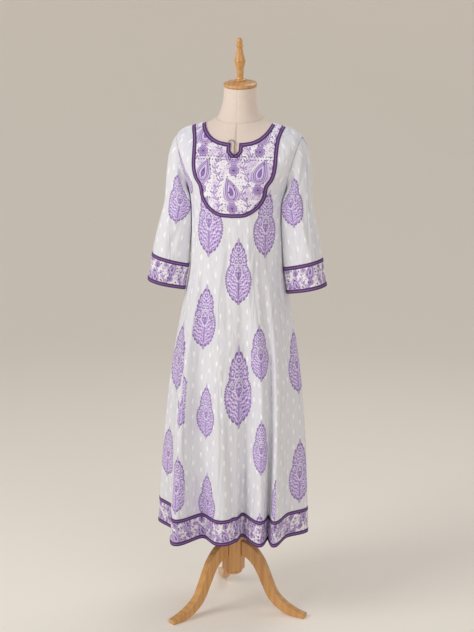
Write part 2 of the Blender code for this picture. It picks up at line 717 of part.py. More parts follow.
def make_stand():
    """The pole under the torso, and the hub with its foot and its three legs."""
    pole_foot = HUB_Z[1] + SEAM
    length = FORM_RINGS[-1]["front_z"] - SEAM - pole_foot
    pole = [(24, 0), (24, 8), (POLE_RADIUS, 20), (POLE_RADIUS, length - 18), (38, length - 6),
            (38, length)]
    turned("pole", pole, (0, 0, pole_foot), sides=14)

    block = prism(hub_outline(), (0, HUB_Z[1] - HUB_Z[0]), lambda point, depth: (*point, depth))
    hub = add_shape("hub", block, WOOD, 0.35, smooth=False)
    hub.location.z = HUB_Z[0] * MM
    round_edges(hub, 2.0)
    foot = [(22, 0), (27, 3), (28, 8), (24, 12)]
    turned("hub_foot", foot, (0, 0, HUB_Z[0] - SEAM - foot[-1][1]))
    for name, degrees in LEG_DIRECTIONS_DEG.items():
        make_leg(name, degrees)


def round_edges(thing, width):
    bevel = thing.modifiers.new("edges", "BEVEL")
    bevel.width = width * MM
    bevel.segments = 1
    bevel.limit_method = "ANGLE"
    bevel.angle_limit = math.radians(50)


def make_leg(name, degrees):
    """A sawn leg: a curved outline in an upright plane, flat where it stands and at the hub."""
    line = smooth_line([(row["out"], row["z"]) for row in LEG_LINE], 2)
    breadths = [p.x for p in smooth_line([(row["half_breadth"], 0) for row in LEG_LINE], 2)]
    upper = [offset_line(line, breadth)[i] for i, breadth in enumerate(breadths)]
    lower = [offset_line(line, -breadth)[i] for i, breadth in enumerate(breadths)]
    for point in lower:
        point.y = max(point.y, 0.0)
    upper[0].x = lower[0].x = line[0].x
    board = prism(lower + upper[::-1], (-LEG_THICKNESS / 2, LEG_THICKNESS / 2),
                  lambda point, depth: (point[0], depth, point[1]))
    leg = add_shape(f"leg_{name}", board, WOOD, 0.35, smooth=False)
    leg.rotation_euler.z = math.radians(degrees)
    round_edges(leg, 3.0)


clear_scene()
add_base()
make_form()
make_head()
make_stand()
make_gown()
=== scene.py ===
"""The looks of an anarkali gown on a limbless dress form with a turned finial and a tripod stand.

Lengths are in millimetres until a mesh is made. The front faces -Y, left and right are the viewer's,
and the pole stands on the garment's own axis, which lies PLAN_ORIGIN away from the frame's origin.
"""
import math

import bmesh
import bpy
import numpy as np
from mathutils import Euler, Matrix, Vector
from mathutils.bvhtree import BVHTree


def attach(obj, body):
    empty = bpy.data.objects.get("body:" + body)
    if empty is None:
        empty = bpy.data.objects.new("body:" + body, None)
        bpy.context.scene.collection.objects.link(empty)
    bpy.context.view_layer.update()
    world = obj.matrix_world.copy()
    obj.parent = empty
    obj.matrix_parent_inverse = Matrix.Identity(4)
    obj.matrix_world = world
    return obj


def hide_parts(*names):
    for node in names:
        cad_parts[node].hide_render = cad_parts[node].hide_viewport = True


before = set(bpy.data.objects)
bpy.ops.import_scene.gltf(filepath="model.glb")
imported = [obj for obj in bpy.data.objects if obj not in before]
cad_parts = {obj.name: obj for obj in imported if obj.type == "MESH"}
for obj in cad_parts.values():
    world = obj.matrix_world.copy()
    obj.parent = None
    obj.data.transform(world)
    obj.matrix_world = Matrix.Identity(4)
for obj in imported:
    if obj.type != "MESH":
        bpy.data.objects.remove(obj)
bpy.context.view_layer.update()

# ---------------------------------------------------------------- studio
# A pale floor that sweeps up into a pale round wall, lit by two large soft lamps and a top lamp.
# The camera stands a little to the right of the gown's front and looks slightly down.

MM = 0.001
PLAN_ORIGIN = Vector((0.0, 7.8, 0.0))
CAMERA_DISTANCE = 3.692
CAMERA_HEIGHT = 1.707
CAMERA_TURN_DEG = 9.0
CAMERA_DOWN_DEG = 11.7
CAMERA_ROLL_DEG = 0.84
LENS_MM = 70.0
SENSOR_MM = 36.0
FARTHEST_SEEN = 50.0

# Each lamp's turn round the gown in degrees, 0 in front, its height, distance and size, the height
# that it is aimed at, all in metres, and its power in watts
LAMPS = {
    "key_lamp": (-50, 2.9, 3.3, 1.8, 1.0, 75),
    "fill_lamp": (34, 2.1, 3.6, 2.4, 0.9, 29),
    "top_lamp": (150, 3.9, 2.0, 2.0, 1.1, 34),
}
AIR_COLOUR = (0.95, 0.97, 1.0, 1)
AIR_STRENGTH = 0.26

SWEEP_REACH = 6.3
SWEEP_HEIGHT = 4.0
SWEEP_BEND = 2.6
SWEEP_BEND_STEPS = 16
SWEEP_ROUND_STEPS = 72
SWEEP_PAINT = {"Base Color": (0.74, 0.685, 0.615, 1), "Roughness": 0.9,
               "Emission Color": (0.80, 0.745, 0.67, 1), "Emission Strength": 0.2}


def add_camera():
    """The camera, level with the shoulders and turned a little to the right."""
    camera = bpy.data.objects.new("camera", bpy.data.cameras.new("camera"))
    bpy.context.scene.collection.objects.link(camera)
    turn = math.radians(CAMERA_TURN_DEG)
    away = Vector((math.sin(turn), -math.cos(turn), 0)) * CAMERA_DISTANCE
    camera.location = away - PLAN_ORIGIN * MM + Vector((0, 0, CAMERA_HEIGHT))
    upright = Euler((math.radians(90 - CAMERA_DOWN_DEG), 0, turn)).to_matrix()
    roll = Matrix.Rotation(math.radians(CAMERA_ROLL_DEG), 3, "Z")
    camera.rotation_euler = (upright @ roll).to_euler()
    camera.data.lens = LENS_MM
    camera.data.sensor_width = SENSOR_MM
    camera.data.clip_end = FARTHEST_SEEN
    bpy.context.scene.camera = camera


def add_lamp(name, degrees, height, distance, size, aim_z, watts):
    """A square soft lamp, aimed at a height on the gown's axis."""
    lamp = bpy.data.objects.new(name, bpy.data.lights.new(name, "AREA"))
    bpy.context.scene.collection.objects.link(lamp)
    turn = math.radians(degrees)
    lamp.location = (math.sin(turn) * distance, -math.cos(turn) * distance, height)
    aim = Vector((0, 0, aim_z)) - lamp.location
    lamp.rotation_euler = aim.to_track_quat("-Z", "Y").to_euler()
    lamp.data.size = size
    lamp.data.energy = watts


def add_sweep():
    """The floor and the wall all round it in one sheet, with a wide round turn between them."""
    profile = []
    for k in range(SWEEP_BEND_STEPS + 1):
        turn = math.radians(90) * k / SWEEP_BEND_STEPS
        profile.append((SWEEP_REACH - SWEEP_BEND + SWEEP_BEND * math.sin(turn),
                        SWEEP_BEND - SWEEP_BEND * math.cos(turn)))
    profile.append((SWEEP_REACH, SWEEP_HEIGHT))
    steps = SWEEP_ROUND_STEPS
    rounds = [2 * math.pi * k / steps for k in range(steps)]
    points = [(0.0, 0.0, 0.0)]
    points += [(r * math.cos(turn), r * math.sin(turn), z) for r, z in profile for turn in rounds]
    faces = [(0, 1 + k, 1 + (k + 1) % steps) for k in range(steps)]
    for row in range(len(profile) - 1):
        a = 1 + row * steps
        faces += [(a + k, a + k + steps, a + (k + 1) % steps + steps, a + (k + 1) % steps)
                  for k in range(steps)]
    mesh = bpy.data.meshes.new("sweep")
    mesh.from_pydata(points, [], faces)
    mesh.shade_smooth()
    sweep = bpy.data.objects.new("sweep", mesh)
    bpy.context.scene.collection.objects.link(sweep)
    finish = bpy.data.materials.new("sweep_paint")
    finish.use_nodes = True
    for socket, value in SWEEP_PAINT.items():
        finish.node_tree.nodes["Principled BSDF"].inputs[socket].default_value = value
    mesh.materials.append(finish)


def add_air():
    """The even light of the room."""
    air = bpy.data.worlds.new("studio_air")
    air.use_nodes = True
    background = air.node_tree.nodes["Background"]
    background.inputs["Color"].default_value = AIR_COLOUR
    background.inputs["Strength"].default_value = AIR_STRENGTH
    bpy.context.scene.world = air
    bpy.context.scene.view_settings.view_transform = "Standard"


add_camera()
add_sweep()
for lamp_name, lamp in LAMPS.items():
    add_lamp(lamp_name, *lamp)
add_air()

# ---------------------------------------------------------------- dress form
# A rigid torso with neck and shoulder plates and no limbs, under a tight cover of cream jersey.
# The cover is sewn up the middle of the front and back, and round the foot of the neck.


def named_rows(columns, rows):
    """A table's rows, with their values under its columns' names."""
    return [dict(zip(columns, row)) for row in rows]


RING_COLUMNS = ("name", "side_x", "side_z", "front_y", "front_z", "back_y", "back_z",
                "squareness", "fall")
FORM_RINGS = named_rows(RING_COLUMNS, (
    ("neck_top", 49.0, 1636, 49.5, 1626, 49, 1647, 2.0, 1),
    ("neck_mid", 49.5, 1606, 50.5, 1596, 50, 1617, 2.0, 1),
    ("neck_low", 57, 1570, 54, 1558, 54, 1582, 2.0, 1),
    ("neck_base", 70, 1546, 61, 1530, 62, 1562, 2.0, 1),
    ("collar", 96, 1530.5, 72, 1500, 76, 1538, 2.1, 1.5),
    ("yoke", 132, 1521, 86, 1462, 90, 1500, 2.2, 2),
    ("shoulder", 164, 1511, 99, 1420, 99, 1460, 2.3, 2),
    ("tip", 184, 1494, 109, 1390, 104, 1425, 2.35, 2),
    ("plate_top", 187, 1468, 115, 1368, 106, 1398, 2.35, 2),
    ("plate_mid", 176, 1420, 120, 1348, 106, 1372, 2.3, 2),
    ("plate_low", 154, 1366, 124, 1330, 104, 1345, 2.25, 2),
    ("underarm", 138, 1325, 126, 1310, 100, 1315, 2.2, 2),
    ("bust", 134, 1292, 126, 1290, 95, 1290, 2.2, 2),
    ("under_bust", 120, 1228, 108, 1228, 86, 1228, 2.1, 2),
    ("waist", 106, 1140, 92, 1140, 80, 1140, 2.0, 2),
    ("high_hip", 124, 1055, 98, 1055, 96, 1055, 2.05, 2),
    ("hip", 144, 960, 104, 960, 112, 960, 2.1, 2),
    ("thigh", 142, 890, 100, 890, 108, 890, 2.1, 2),
    ("base", 134, 835, 92, 835, 100, 835, 2.1, 2),
))
NECK_BASE_RING = 3.0
FORM_ROWS = np.concatenate(       # closer together at the neck's rim and on the shoulders
    [np.linspace(0, 0.12, 3), np.linspace(0.2, 6, 66), np.linspace(6.15, 18, 60)])
FORM_COLUMNS = 160
FORM_RIM_DEG = 50
COVER_SEAM_DEPTH = 1.1
COVER_SEAM_WIDTH = 1.6


def catmull(before, first, second, after, share):
    """A smooth curve from first to second, with its directions taken from their neighbours."""
    return 0.5 * (2 * first + (second - before) * share
                  + (2 * before - 5 * first + 4 * second - after) * share ** 2
                  + (3 * first - before - 3 * second + after) * share ** 3)


def sizes_at(table, numbers, columns):
    """The sizes in a table's named columns at these row numbers, whole or between two rows.

    Past its ends the table runs on straight.
    """
    numbers = np.clip(np.asarray(numbers, float), 0, len(table) - 1)
    low = np.minimum(numbers.astype(int), len(table) - 2)
    made = {}
    for column in columns:
        values = [row[column] for row in table]
        ends = [2 * values[0] - values[1]] + values + [2 * values[-1] - values[-2]]
        made[column] = catmull(*(np.array(ends, float)[low + k] for k in range(4)), numbers - low)
    return made


def ring_points(rings, numbers, angles):
    """Points of a ringed surface: a row for each ring number and a column for each angle."""
    numbers, angles = np.broadcast_arrays(np.atleast_1d(numbers)[:, None], np.atleast_1d(angles))
    size = sizes_at(rings, numbers, RING_COLUMNS[1:])
    across, ahead = np.sin(angles), np.cos(angles)
    power = 2 / size["squareness"]
    x = np.sign(across) * np.abs(across) ** power * size["side_x"]
    front = ahead >= 0
    y = -np.sign(ahead) * np.abs(ahead) ** power * np.where(front, size["front_y"], size["back_y"])
    middle_z = np.where(front, size["front_z"], size["back_z"])
    z = size["side_z"] + (middle_z - size["side_z"]) * np.abs(ahead) ** size["fall"]
    return np.stack([x, y, z], -1)


def facing(down, right):
    """Unit normals from the directions down and to the right over a surface."""
    normals = np.cross(down, right)
    return normals / np.maximum(np.linalg.norm(normals, axis=-1, keepdims=True), 1e-9)


def form_normals(numbers, angles):
    """Unit normals of the form, each from the places a little way off on every side of it."""
    step, turn = 0.02, 0.01
    above, below = (ring_points(FORM_RINGS, numbers + by, angles) for by in (-step, step))
    left, right = (ring_points(FORM_RINGS, numbers, angles + by) for by in (-turn, turn))
    return facing(below - above, right - left)


def grid_faces(rows, columns, closed):
    """Faces of a grid whose rows run down and whose columns run to the right, seen from outside."""
    faces = []
    for r in range(rows - 1):
        above, below = r * columns, (r + 1) * columns
        for c in range(columns if closed else columns - 1):
            d = (c + 1) % columns
            faces.append((above + c, below + c, below + d, above + d))
    return faces


def add_piece(name, mesh, finish):
    """An object at the frame's origin, with one finish."""
    mesh.materials.clear()
    mesh.materials.append(finish)
    piece = bpy.data.objects.new(name, mesh)
    bpy.context.scene.collection.objects.link(piece)
    return piece


def stand_for(piece, node):
    """Puts a piece in a CAD node's place: hides the node and hangs the piece on the one body."""
    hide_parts(node)
    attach(piece, "root")


def mesh_of(name, points, faces, edges=()):
    """A smooth mesh from millimetres round the pole's axis."""
    mesh = bpy.data.meshes.new(name)
    placed = (np.asarray(points, float).reshape(-1, 3) - np.array(PLAN_ORIGIN)) * MM
    mesh.from_pydata(placed.tolist(), edges, faces)
    mesh.shade_smooth()
    return mesh


def paint(code):
    """A colour as the shader takes it, from its six hexadecimal digits."""
    parts = [int(code[k:k + 2], 16) / 255 for k in (0, 2, 4)]
    return tuple(p / 12.92 if p <= 0.04045 else ((p + 0.055) / 1.055) ** 2.4 for p in parts) + (1.0,)


class Wire:
    """A socket that reads like a number: an expression on wires adds its Math nodes."""

    def __init__(self, finish, socket):
        self.finish, self.socket = finish, socket

    def maths(self, operation, *others):
        return self.finish.node("Math", dict(enumerate((self, *others))), operation=operation)

    def __add__(self, other):
        return self.maths("ADD", other)

    def __sub__(self, other):
        return self.maths("SUBTRACT", other)

    def __mul__(self, other):
        return self.maths("MULTIPLY", other)

    def __truediv__(self, other):
        return self.maths("DIVIDE", other)

    def __pow__(self, other):
        return self.maths("POWER", other)

    def __rsub__(self, other):
        return self * -1 + other

    def __abs__(self):
        return self.maths("ABSOLUTE")

    def __and__(self, other):
        return self.maths("MINIMUM", other)

    def __or__(self, other):
        return self.maths("MAXIMUM", other)

    __radd__, __rmul__ = __add__, __mul__

    def wrapped(self, pitch):
        """The distance from the nearest multiple of pitch."""
        return self.maths("WRAP", pitch / 2, -pitch / 2)

    def edge(self, softness):
        """A mask: 1 where the wire is above nothing, 0 below, with a soft change between."""
        return self.finish.node("MapRange", {0: self, 1: -softness / 2, 2: softness / 2})


class Finish:
    """A material: its Principled shader's constants, and one method that adds any other node."""

    def __init__(self, name, constants):
        self.material = bpy.data.materials.new(name)
        self.material.use_nodes = True
        self.tree = self.material.node_tree
        self.shader = self.tree.nodes["Principled BSDF"]
        for socket, value in constants.items():
            self.shader.inputs[socket].default_value = value

    def join(self, value, socket):
        """Feeds a socket with a wire, a number or a colour's six digits."""
        if isinstance(value, Wire):
            self.tree.links.new(value.socket, socket)
        else:
            socket.default_value = paint(value) if isinstance(value, str) else value

    def node(self, kind, sockets=None, out=0, stops=None, **settings):
        """A node of this kind with its settings made first, then its sockets' values or wires."""
        made = self.tree.nodes.new("ShaderNode" + kind)
        for name, value in settings.items():
            setattr(made, name, value)
        if stops:
            for element, (place, _) in zip(made.color_ramp.elements, stops):
                element.position = place
            for place, _ in stops[2:]:
                made.color_ramp.elements.new(place)
            for element, (_, colour) in zip(made.color_ramp.elements, stops):
                element.color = paint(colour)
        for name, value in (sockets or {}).items():
            self.join(value, made.inputs[name])
        if isinstance(out, tuple):
            return tuple(Wire(self, made.outputs[k]) for k in out)
        return Wire(self, made.outputs[out])

    def blend(self, mask, under, over):
        return self.node("Mix", {0: mask, 6: under, 7: over}, out=2, data_type="RGBA")

    def printed(self, colour, *layers):
        """The colour with layers over it, one after another, each a mask and its own colour."""
        for mask, over in layers:
            colour = self.blend(mask, colour, over)
        return colour

    def show(self, colour, roughness=None, height=None, depth=0.001, strength=1.0):
        """Joins what changes over the surface to the shader. height runs from 0 to 1 over depth."""
        self.join(colour, self.shader.inputs["Base Color"])
        if roughness is not None:
            self.join(roughness, self.shader.inputs["Roughness"])
        if height is not None:
            bump = self.node("Bump", {"Height": height, "Distance": depth, "Strength": strength})
            self.join(bump, self.shader.inputs["Normal"])
        return self.material


def jersey_cover():
    """Fine cream knit: close ribs, a little slub, a soft drift of tone, and darker seams."""
    finish = Finish("jersey_cover", {"Sheen Weight": 0.25, "Specular IOR Level": 0.3})
    place = finish.node("TexCoord", out=3)
    slub = finish.node("TexNoise", {"Vector": place, "Scale": 220.0, "Detail": 3.0})
    drift = finish.node("TexNoise", {"Vector": place, "Scale": 7.0, "Detail": 2.0})
    rib = finish.node("TexWave", {"Vector": place, "Scale": 260.0, "Distortion": 0.6}, out=1)
    seam = finish.node("Attribute", out=2, attribute_name="seam")
    colour = finish.printed("dfccbf", (slub, "ecdfd5"), (drift * 0.35, "d3bfaf"),
                            (seam * 0.45, "957f6e"))
    return finish.show(colour, drift * 0.1 + 0.78, rib * 0.5 + slub * 0.5, 0.0004, 0.5)


def make_form():
    """The torso, with its cover drawn in and darker along the seams."""
    angles = np.linspace(0, 2 * math.pi, FORM_COLUMNS, endpoint=False)
    points = ring_points(FORM_RINGS, FORM_ROWS, angles)
    neck_base_z = ring_points(FORM_RINGS, [NECK_BASE_RING], angles)[..., 2]
    off_seams = points[..., 0], points[..., 2] - neck_base_z
    up_the_middle, round_the_neck = (np.exp(-(off / COVER_SEAM_WIDTH) ** 2) for off in off_seams)
    sink = np.minimum(up_the_middle + round_the_neck, 1) * COVER_SEAM_DEPTH
    points = points - form_normals(FORM_ROWS, angles) * sink[..., None]
    rows, columns = points.shape[:2]
    faces = grid_faces(rows, columns, closed=True)
    faces += [tuple(range(columns)), tuple(range((rows - 1) * columns, rows * columns))[::-1]]
    inked = np.maximum(up_the_middle * (points[..., 2] < neck_base_z), round_the_neck * 0.45)
    mesh = mesh_of("jersey_form", points, faces)
    mesh.attributes.new("seam", "FLOAT", "POINT").data.foreach_set("value", inked.reshape(-1))
    mesh.set_sharp_from_angle(angle=math.radians(FORM_RIM_DEG))
    piece = add_piece("jersey_form", mesh, jersey_cover())
    stand_for(piece, "form_body")


make_form()

# ---------------------------------------------------------------- turned wood
# The cap on the neck, the finial screwed into it, the pole and the hub's foot are turned from pale
# hardwood and lacquered. The cap and the finial stand square to the slant of the neck.

CAP = [(46.5, 0), (49, 1.5), (50, 5), (49, 8.5), (44, 11), (32, 13.5), (18, 15)]
FINIAL = [(15, 0), (15, 3.5), (11.5, 7), (9.4, 14), (11, 25), (10, 31), (13.4, 45), (15.6, 55),
          (16, 56.4), (17.2, 58.4), (16, 60.4), (15, 62.5), (13.4, 70), (11, 80), (8.2, 97),
          (11, 101), (11, 105), (8.2, 109), (8.8, 117), (5, 125)]
HUB_DISC = [(22, 0), (27, 3), (28, 8), (24, 12)]
HUB_Z = (118.0, 236.0)
POLE_RADIUS = 12.5
POLE_FOOT = [(24, 0), (24, 8), (POLE_RADIUS, 20), (POLE_RADIUS, 60)]
POLE_HEAD = [(POLE_RADIUS, -60), (POLE_RADIUS, -18), (38, -6), (38, 0)]   # up to its top at 0
PART_GAP = 0.3
LATHE_STEPS = 48
CURVE_STEPS = 5           # between two points of a profile or an outline
TURNED_RIM_DEG = 45
SAME_PLACE = 0.01


def lacquered_wood(name, turn=(0, 0, 0)):
    """Straight-grained pale wood under clear lacquer, its grain along Z before it is turned."""
    finish = Finish(name, {"Coat Weight": 0.35, "Coat Roughness": 0.12})
    place = finish.node("TexCoord", out=3)
    along = finish.node("Mapping", {"Vector": place, "Rotation": turn, "Scale": (70, 70, 3)})
    warp = finish.node("TexNoise", {"Vector": along, "Scale": 0.35, "Detail": 2.0})
    grain = finish.node("TexNoise", {"Vector": along, "Scale": 2.6, "Detail": 5.0, "Distortion": 0.5})
    rings = finish.node("TexWave", {"Vector": along, "Scale": 0.3, "Distortion": 3.0, "Detail": 3.0},
                        out=1)
    tone = rings * 0.12 + grain * 0.55 + warp * 0.33
    colour = finish.node("ValToRGB", {0: tone},
                         stops=[(0.28, "b98044"), (0.5, "d09a58"), (0.74, "dfb077")])
    return finish.show(colour, grain * 0.16 + 0.26, grain, 0.0003, 0.25)


def smooth_line(points, steps=CURVE_STEPS):
    """The polyline through the points, made smooth with this many steps for each stretch."""
    points = [Vector(p) for p in points]
    ends = [2 * points[0] - points[1]] + points + [2 * points[-1] - points[-2]]
    made = []
    for i in range(len(points) - 1):
        made += [catmull(*ends[i:i + 4], k / steps) for k in range(steps)]
    return made + [points[-1]]


def smooth_mesh(name, shape, rim_deg):
    """A bmesh as a smooth mesh, with its edges sharper than this left sharp."""
    mesh = bpy.data.meshes.new(name)
    shape.to_mesh(mesh)
    shape.free()
    mesh.shade_smooth()
    mesh.set_sharp_from_angle(angle=math.radians(rim_deg))
    return mesh


def turned(name, profile, place, slant, finish, node):
    """A piece spun from a profile of radius and height, closed on its axis at both ends."""
    shape = bmesh.new()
    line = [Vector((0, profile[0][1])), *smooth_line(profile), Vector((0, profile[-1][1]))]
    verts = [shape.verts.new((p.x, 0, p.y)) for p in line]
    edges = [shape.edges.new(pair) for pair in zip(verts, verts[1:])]
    bmesh.ops.spin(shape, geom=verts + edges, cent=(0, 0, 0), axis=(0, 0, 1), angle=2 * math.pi,
                   steps=LATHE_STEPS, use_merge=True)
    bmesh.ops.remove_doubles(shape, verts=shape.verts, dist=SAME_PLACE)
    bmesh.ops.recalc_face_normals(shape, faces=shape.faces)
    set_down = Matrix.Translation(Vector(place) - PLAN_ORIGIN) @ Matrix.Rotation(slant, 4, "X")
    shape.transform(Matrix.Scale(MM, 4) @ set_down)
    stand_for(add_piece(name, smooth_mesh(name, shape, TURNED_RIM_DEG), finish), node)


def make_turned_wood():
    """The cap and the finial on the neck, the pole, and the disc under the hub."""
    top, base = FORM_RINGS[0], FORM_RINGS[-1]
    slant = math.atan2(top["back_z"] - top["front_z"], top["back_y"] + top["front_y"])
    axis = Matrix.Rotation(slant, 3, "X") @ Vector((0, 0, 1))
    seat = Vector((0, 0, (top["back_z"] + top["front_z"]) / 2)) + axis * PART_GAP
    wood = lacquered_wood("lacquered_wood")
    turned("turned_cap", CAP, seat, slant, wood, "neck_cap")
    turned("turned_finial", FINIAL, seat + axis * (CAP[-1][1] + PART_GAP), slant, wood, "finial")
    foot = HUB_Z[1] + PART_GAP
    length = base["front_z"] - PART_GAP - foot
    pole = POLE_FOOT + [(radius, length + z) for radius, z in POLE_HEAD]
    turned("turned_pole", pole, (0, 0, foot), 0.0, wood, "pole")
    disc_z = HUB_Z[0] - PART_GAP - HUB_DISC[-1][1]
    turned("hub_disc", HUB_DISC, (0, 0, disc_z), 0.0, wood, "hub_foot")


make_turned_wood()

# ---------------------------------------------------------------- hub and legs
# Three legs are sawn from boards in an S, with the grain running down and out, have their edges
# rounded over, and are screwed to the flats of the hub between them.

LEG_DIRECTIONS_DEG = {"rear": 108.0, "left": 230.0, "right": 344.0}
LEG_THICKNESS = 26.0
LEG_ROUNDING = {"offset": 3.0, "segments": 3, "profile": 0.6}
LEG_EDGE_DEG = 60         # an edge sharper than this is rounded over
LEG_RIM_DEG = 35
LEG_GRAIN_DEG = 52
LEG_SAME_PLACE = 0.05
MITRE_LIMIT = 0.35
LEG_COLUMNS = ("out", "z", "half_breadth")
LEG_LINE = named_rows(LEG_COLUMNS, (
    (32.3, 196, 24), (62, 184, 22), (92, 152, 19), (118, 100, 17), (142, 55, 16), (178, 26, 15),
    (218, 11, 11.5), (252, 6.8, 7),
))


def offset_line(points, distance):
    """The polyline moved sideways, to its left, with mitred corners."""
    made = []
    for i, point in enumerate(points):
        into = (point - points[i - 1]) if i else (points[1] - point)
        out = (points[i + 1] - point) if i < len(points) - 1 else into
        a, b = into.normalized(), out.normalized()
        left_a, left_b = Vector((-a.y, a.x)), Vector((-b.y, b.x))
        middle = (left_a + left_b).normalized()
        made.append(point + middle * distance / max(middle.dot(left_a), MITRE_LIMIT))
    return made


def make_leg(leg, degrees):
    """A leg, its outline drawn outwards and upwards and then turned this far round the pole."""
    name = f"sawn_leg_{leg}"
    line = smooth_line([(row["out"], row["z"]) for row in LEG_LINE])
    breadths = [p.x for p in smooth_line([(row["half_breadth"], 0) for row in LEG_LINE])]
    upper, lower = ([offset_line(line, way * breadth)[i] for i, breadth in enumerate(breadths)]
                    for way in (1, -1))
    for point in lower:
        point.y = max(point.y, 0.0)
    upper[0].x = lower[0].x = line[0].x
    shape = bmesh.new()
    near = [shape.verts.new((p.x, -LEG_THICKNESS / 2, p.y)) for p in lower + upper[::-1]]
    made = bmesh.ops.extrude_face_region(shape, geom=[shape.faces.new(near)])["geom"]
    bmesh.ops.translate(shape, vec=(0, LEG_THICKNESS, 0),
                        verts=[v for v in made if isinstance(v, bmesh.types.BMVert)])
    bmesh.ops.remove_doubles(shape, verts=shape.verts, dist=LEG_SAME_PLACE)
    bmesh.ops.recalc_face_normals(shape, faces=shape.faces)
    rims = [e for e in shape.edges if e.calc_face_angle(0) > math.radians(LEG_EDGE_DEG)]
    bmesh.ops.bevel(shape, geom=rims, affect="EDGES", **LEG_ROUNDING)
    turn = math.radians(degrees)
    to_frame = Matrix.Scale(MM, 4) @ Matrix.Translation(-PLAN_ORIGIN)
    shape.transform(to_frame @ Matrix.Rotation(turn, 4, "Z"))
    finish = lacquered_wood(f"board_{leg}", (0, math.radians(LEG_GRAIN_DEG), -turn))
    stand_for(add_piece(name, smooth_mesh(name, shape, LEG_RIM_DEG), finish), f"leg_{leg}")


for leg, degrees in LEG_DIRECTIONS_DEG.items():
    make_leg(leg, degrees)
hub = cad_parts["hub"]
hub.data.materials.clear()
hub.data.materials.append(lacquered_wood("hub_block"))

# ---------------------------------------------------------------- gown: front and back
# Each panel is cotton with woven dots, block-printed with tall leaf motifs, and cut in flared gores
# that hang in folds from the bust. It rests on the form's shoulders; the neckline and the armholes
# are cut out of it, and the front is cut away where the yoke is set in.

CLOTH = 1.4
SEAM = 0.3
SEAT = 0.9                # between the form's shoulders and the cloth on them
HEM_Z = 272.0
HEM_SEAM_Z = 347.0
SHIN_Z = 410.0
FIRST_GOWN_RING = 6
GOWN_RINGS = named_rows(RING_COLUMNS, (
    ("shoulder", 166.5, 1513.5, 101, 1421, 101, 1461, 2.3, 2),
    ("tip", 187, 1496, 112, 1391, 107, 1426, 2.35, 2),
    ("plate_top", 190, 1469, 119, 1369, 110, 1399, 2.35, 2),
    ("plate_mid", 180, 1421, 125, 1349, 111, 1373, 2.3, 2),
    ("plate_low", 160, 1367, 129, 1331, 110, 1346, 2.25, 2),
    ("underarm", 148, 1326, 131, 1311, 108, 1316, 2.2, 2),
    ("bust", 144, 1293, 132.5, 1291, 107, 1291, 2.2, 2),
    ("yoke_foot", 141, 1245, 132, 1245, 107, 1245, 2.2, 2),
    ("waist", 141, 1165, 132, 1165, 109, 1165, 2.2, 2),
    ("high_hip", 146, 1090, 134, 1090, 112, 1090, 2.2, 2),
    ("hip", 159, 1010, 138, 1010, 119, 1010, 2.2, 2),
    ("thigh", 180, 890, 146, 890, 131, 890, 2.2, 2),
    ("above_knee", 198, 760, 153, 760, 142, 760, 2.2, 2),
    ("knee", 209, 630, 158, 630, 151, 630, 2.2, 2),
    ("calf", 216, 500, 161, 500, 158, 500, 2.2, 2),
    ("shin", 220, SHIN_Z, 163.5, SHIN_Z, 163.5, SHIN_Z, 2.2, 2),
    ("hem_seam", 221.5, HEM_SEAM_Z, 164.5, HEM_SEAM_Z, 165.5, HEM_SEAM_Z, 2.2, 2),
    ("hem", 223, HEM_Z, 165.5, HEM_Z, 168, HEM_Z, 2.2, 2),
))
SEATED_TO = 6.0           # the gown lies on the form down to this ring
FREE_FROM = 11.0          # and follows its own rings from here
HEM_SEAM_RING = FIRST_GOWN_RING + 16
HEM_RING = FIRST_GOWN_RING + 17

# A fold hangs from a place on the bust (hang_deg, 0 in front and 90 at the right) and reaches the hem
# at x, y. It starts to show at start_z, and a roundness over 1 makes its turn at the hem a wide one.
FOLD_COLUMNS = ("name", "hang_deg", "x", "y", "start_z", "roundness")
FRONT_FOLDS = named_rows(FOLD_COLUMNS, (
    ("left_seam_ridge", -90, -240, -22, 1120, 1.2),
    ("left_valley", -66, -180, -96, 1150, 0.8),
    ("ridge_a", -43, -148, -226, 1180, 1.5),
    ("valley_ab", -27, -74, -148, 1150, 0.8),
    ("ridge_b", -8, -14, -202, 1120, 1.5),
    ("ridge_b_lip", 5, 34, -160, 1080, 0.5),
    ("valley_bc", 14, 46, -114, 1080, 0.8),
    ("ridge_c", 30, 106, -188, 1130, 1.5),
    ("slit_cd", 39, 124, -122, 1150, 0.5),
    ("ridge_d", 48, 152, -180, 1150, 1.5),
    ("right_valley", 68, 180, -94, 1130, 0.8),
    ("right_seam_ridge", 90, 238, -30, 1120, 1.2),
))
BACK_FOLDS = named_rows(FOLD_COLUMNS, (
    ("valley_ef", 104, 196, 36, 1130, 0.8),
    ("ridge_f", 120, 212, 116, 1150, 1.5),
    ("valley_fg", 134, 140, 120, 1120, 0.8),
    ("ridge_g", 150, 112, 202, 1160, 1.5),
    ("valley_gh", 166, 52, 142, 1110, 0.8),
    ("ridge_h", 181, -2, 210, 1140, 1.5),
    ("valley_hi", 195, -54, 140, 1100, 0.8),
    ("ridge_i", 211, -118, 200, 1150, 1.5),
    ("valley_ij", 226, -138, 120, 1130, 0.8),
    ("ridge_j", 241, -212, 112, 1150, 1.5),
    ("valley_jk", 256, -200, 40, 1130, 0.8),
))
FOLD_GROWTH = 1.15
FOLD_STEP = 6.5           # between two columns of the mesh at the hem
FOLD_STEPS_LEAST = 4

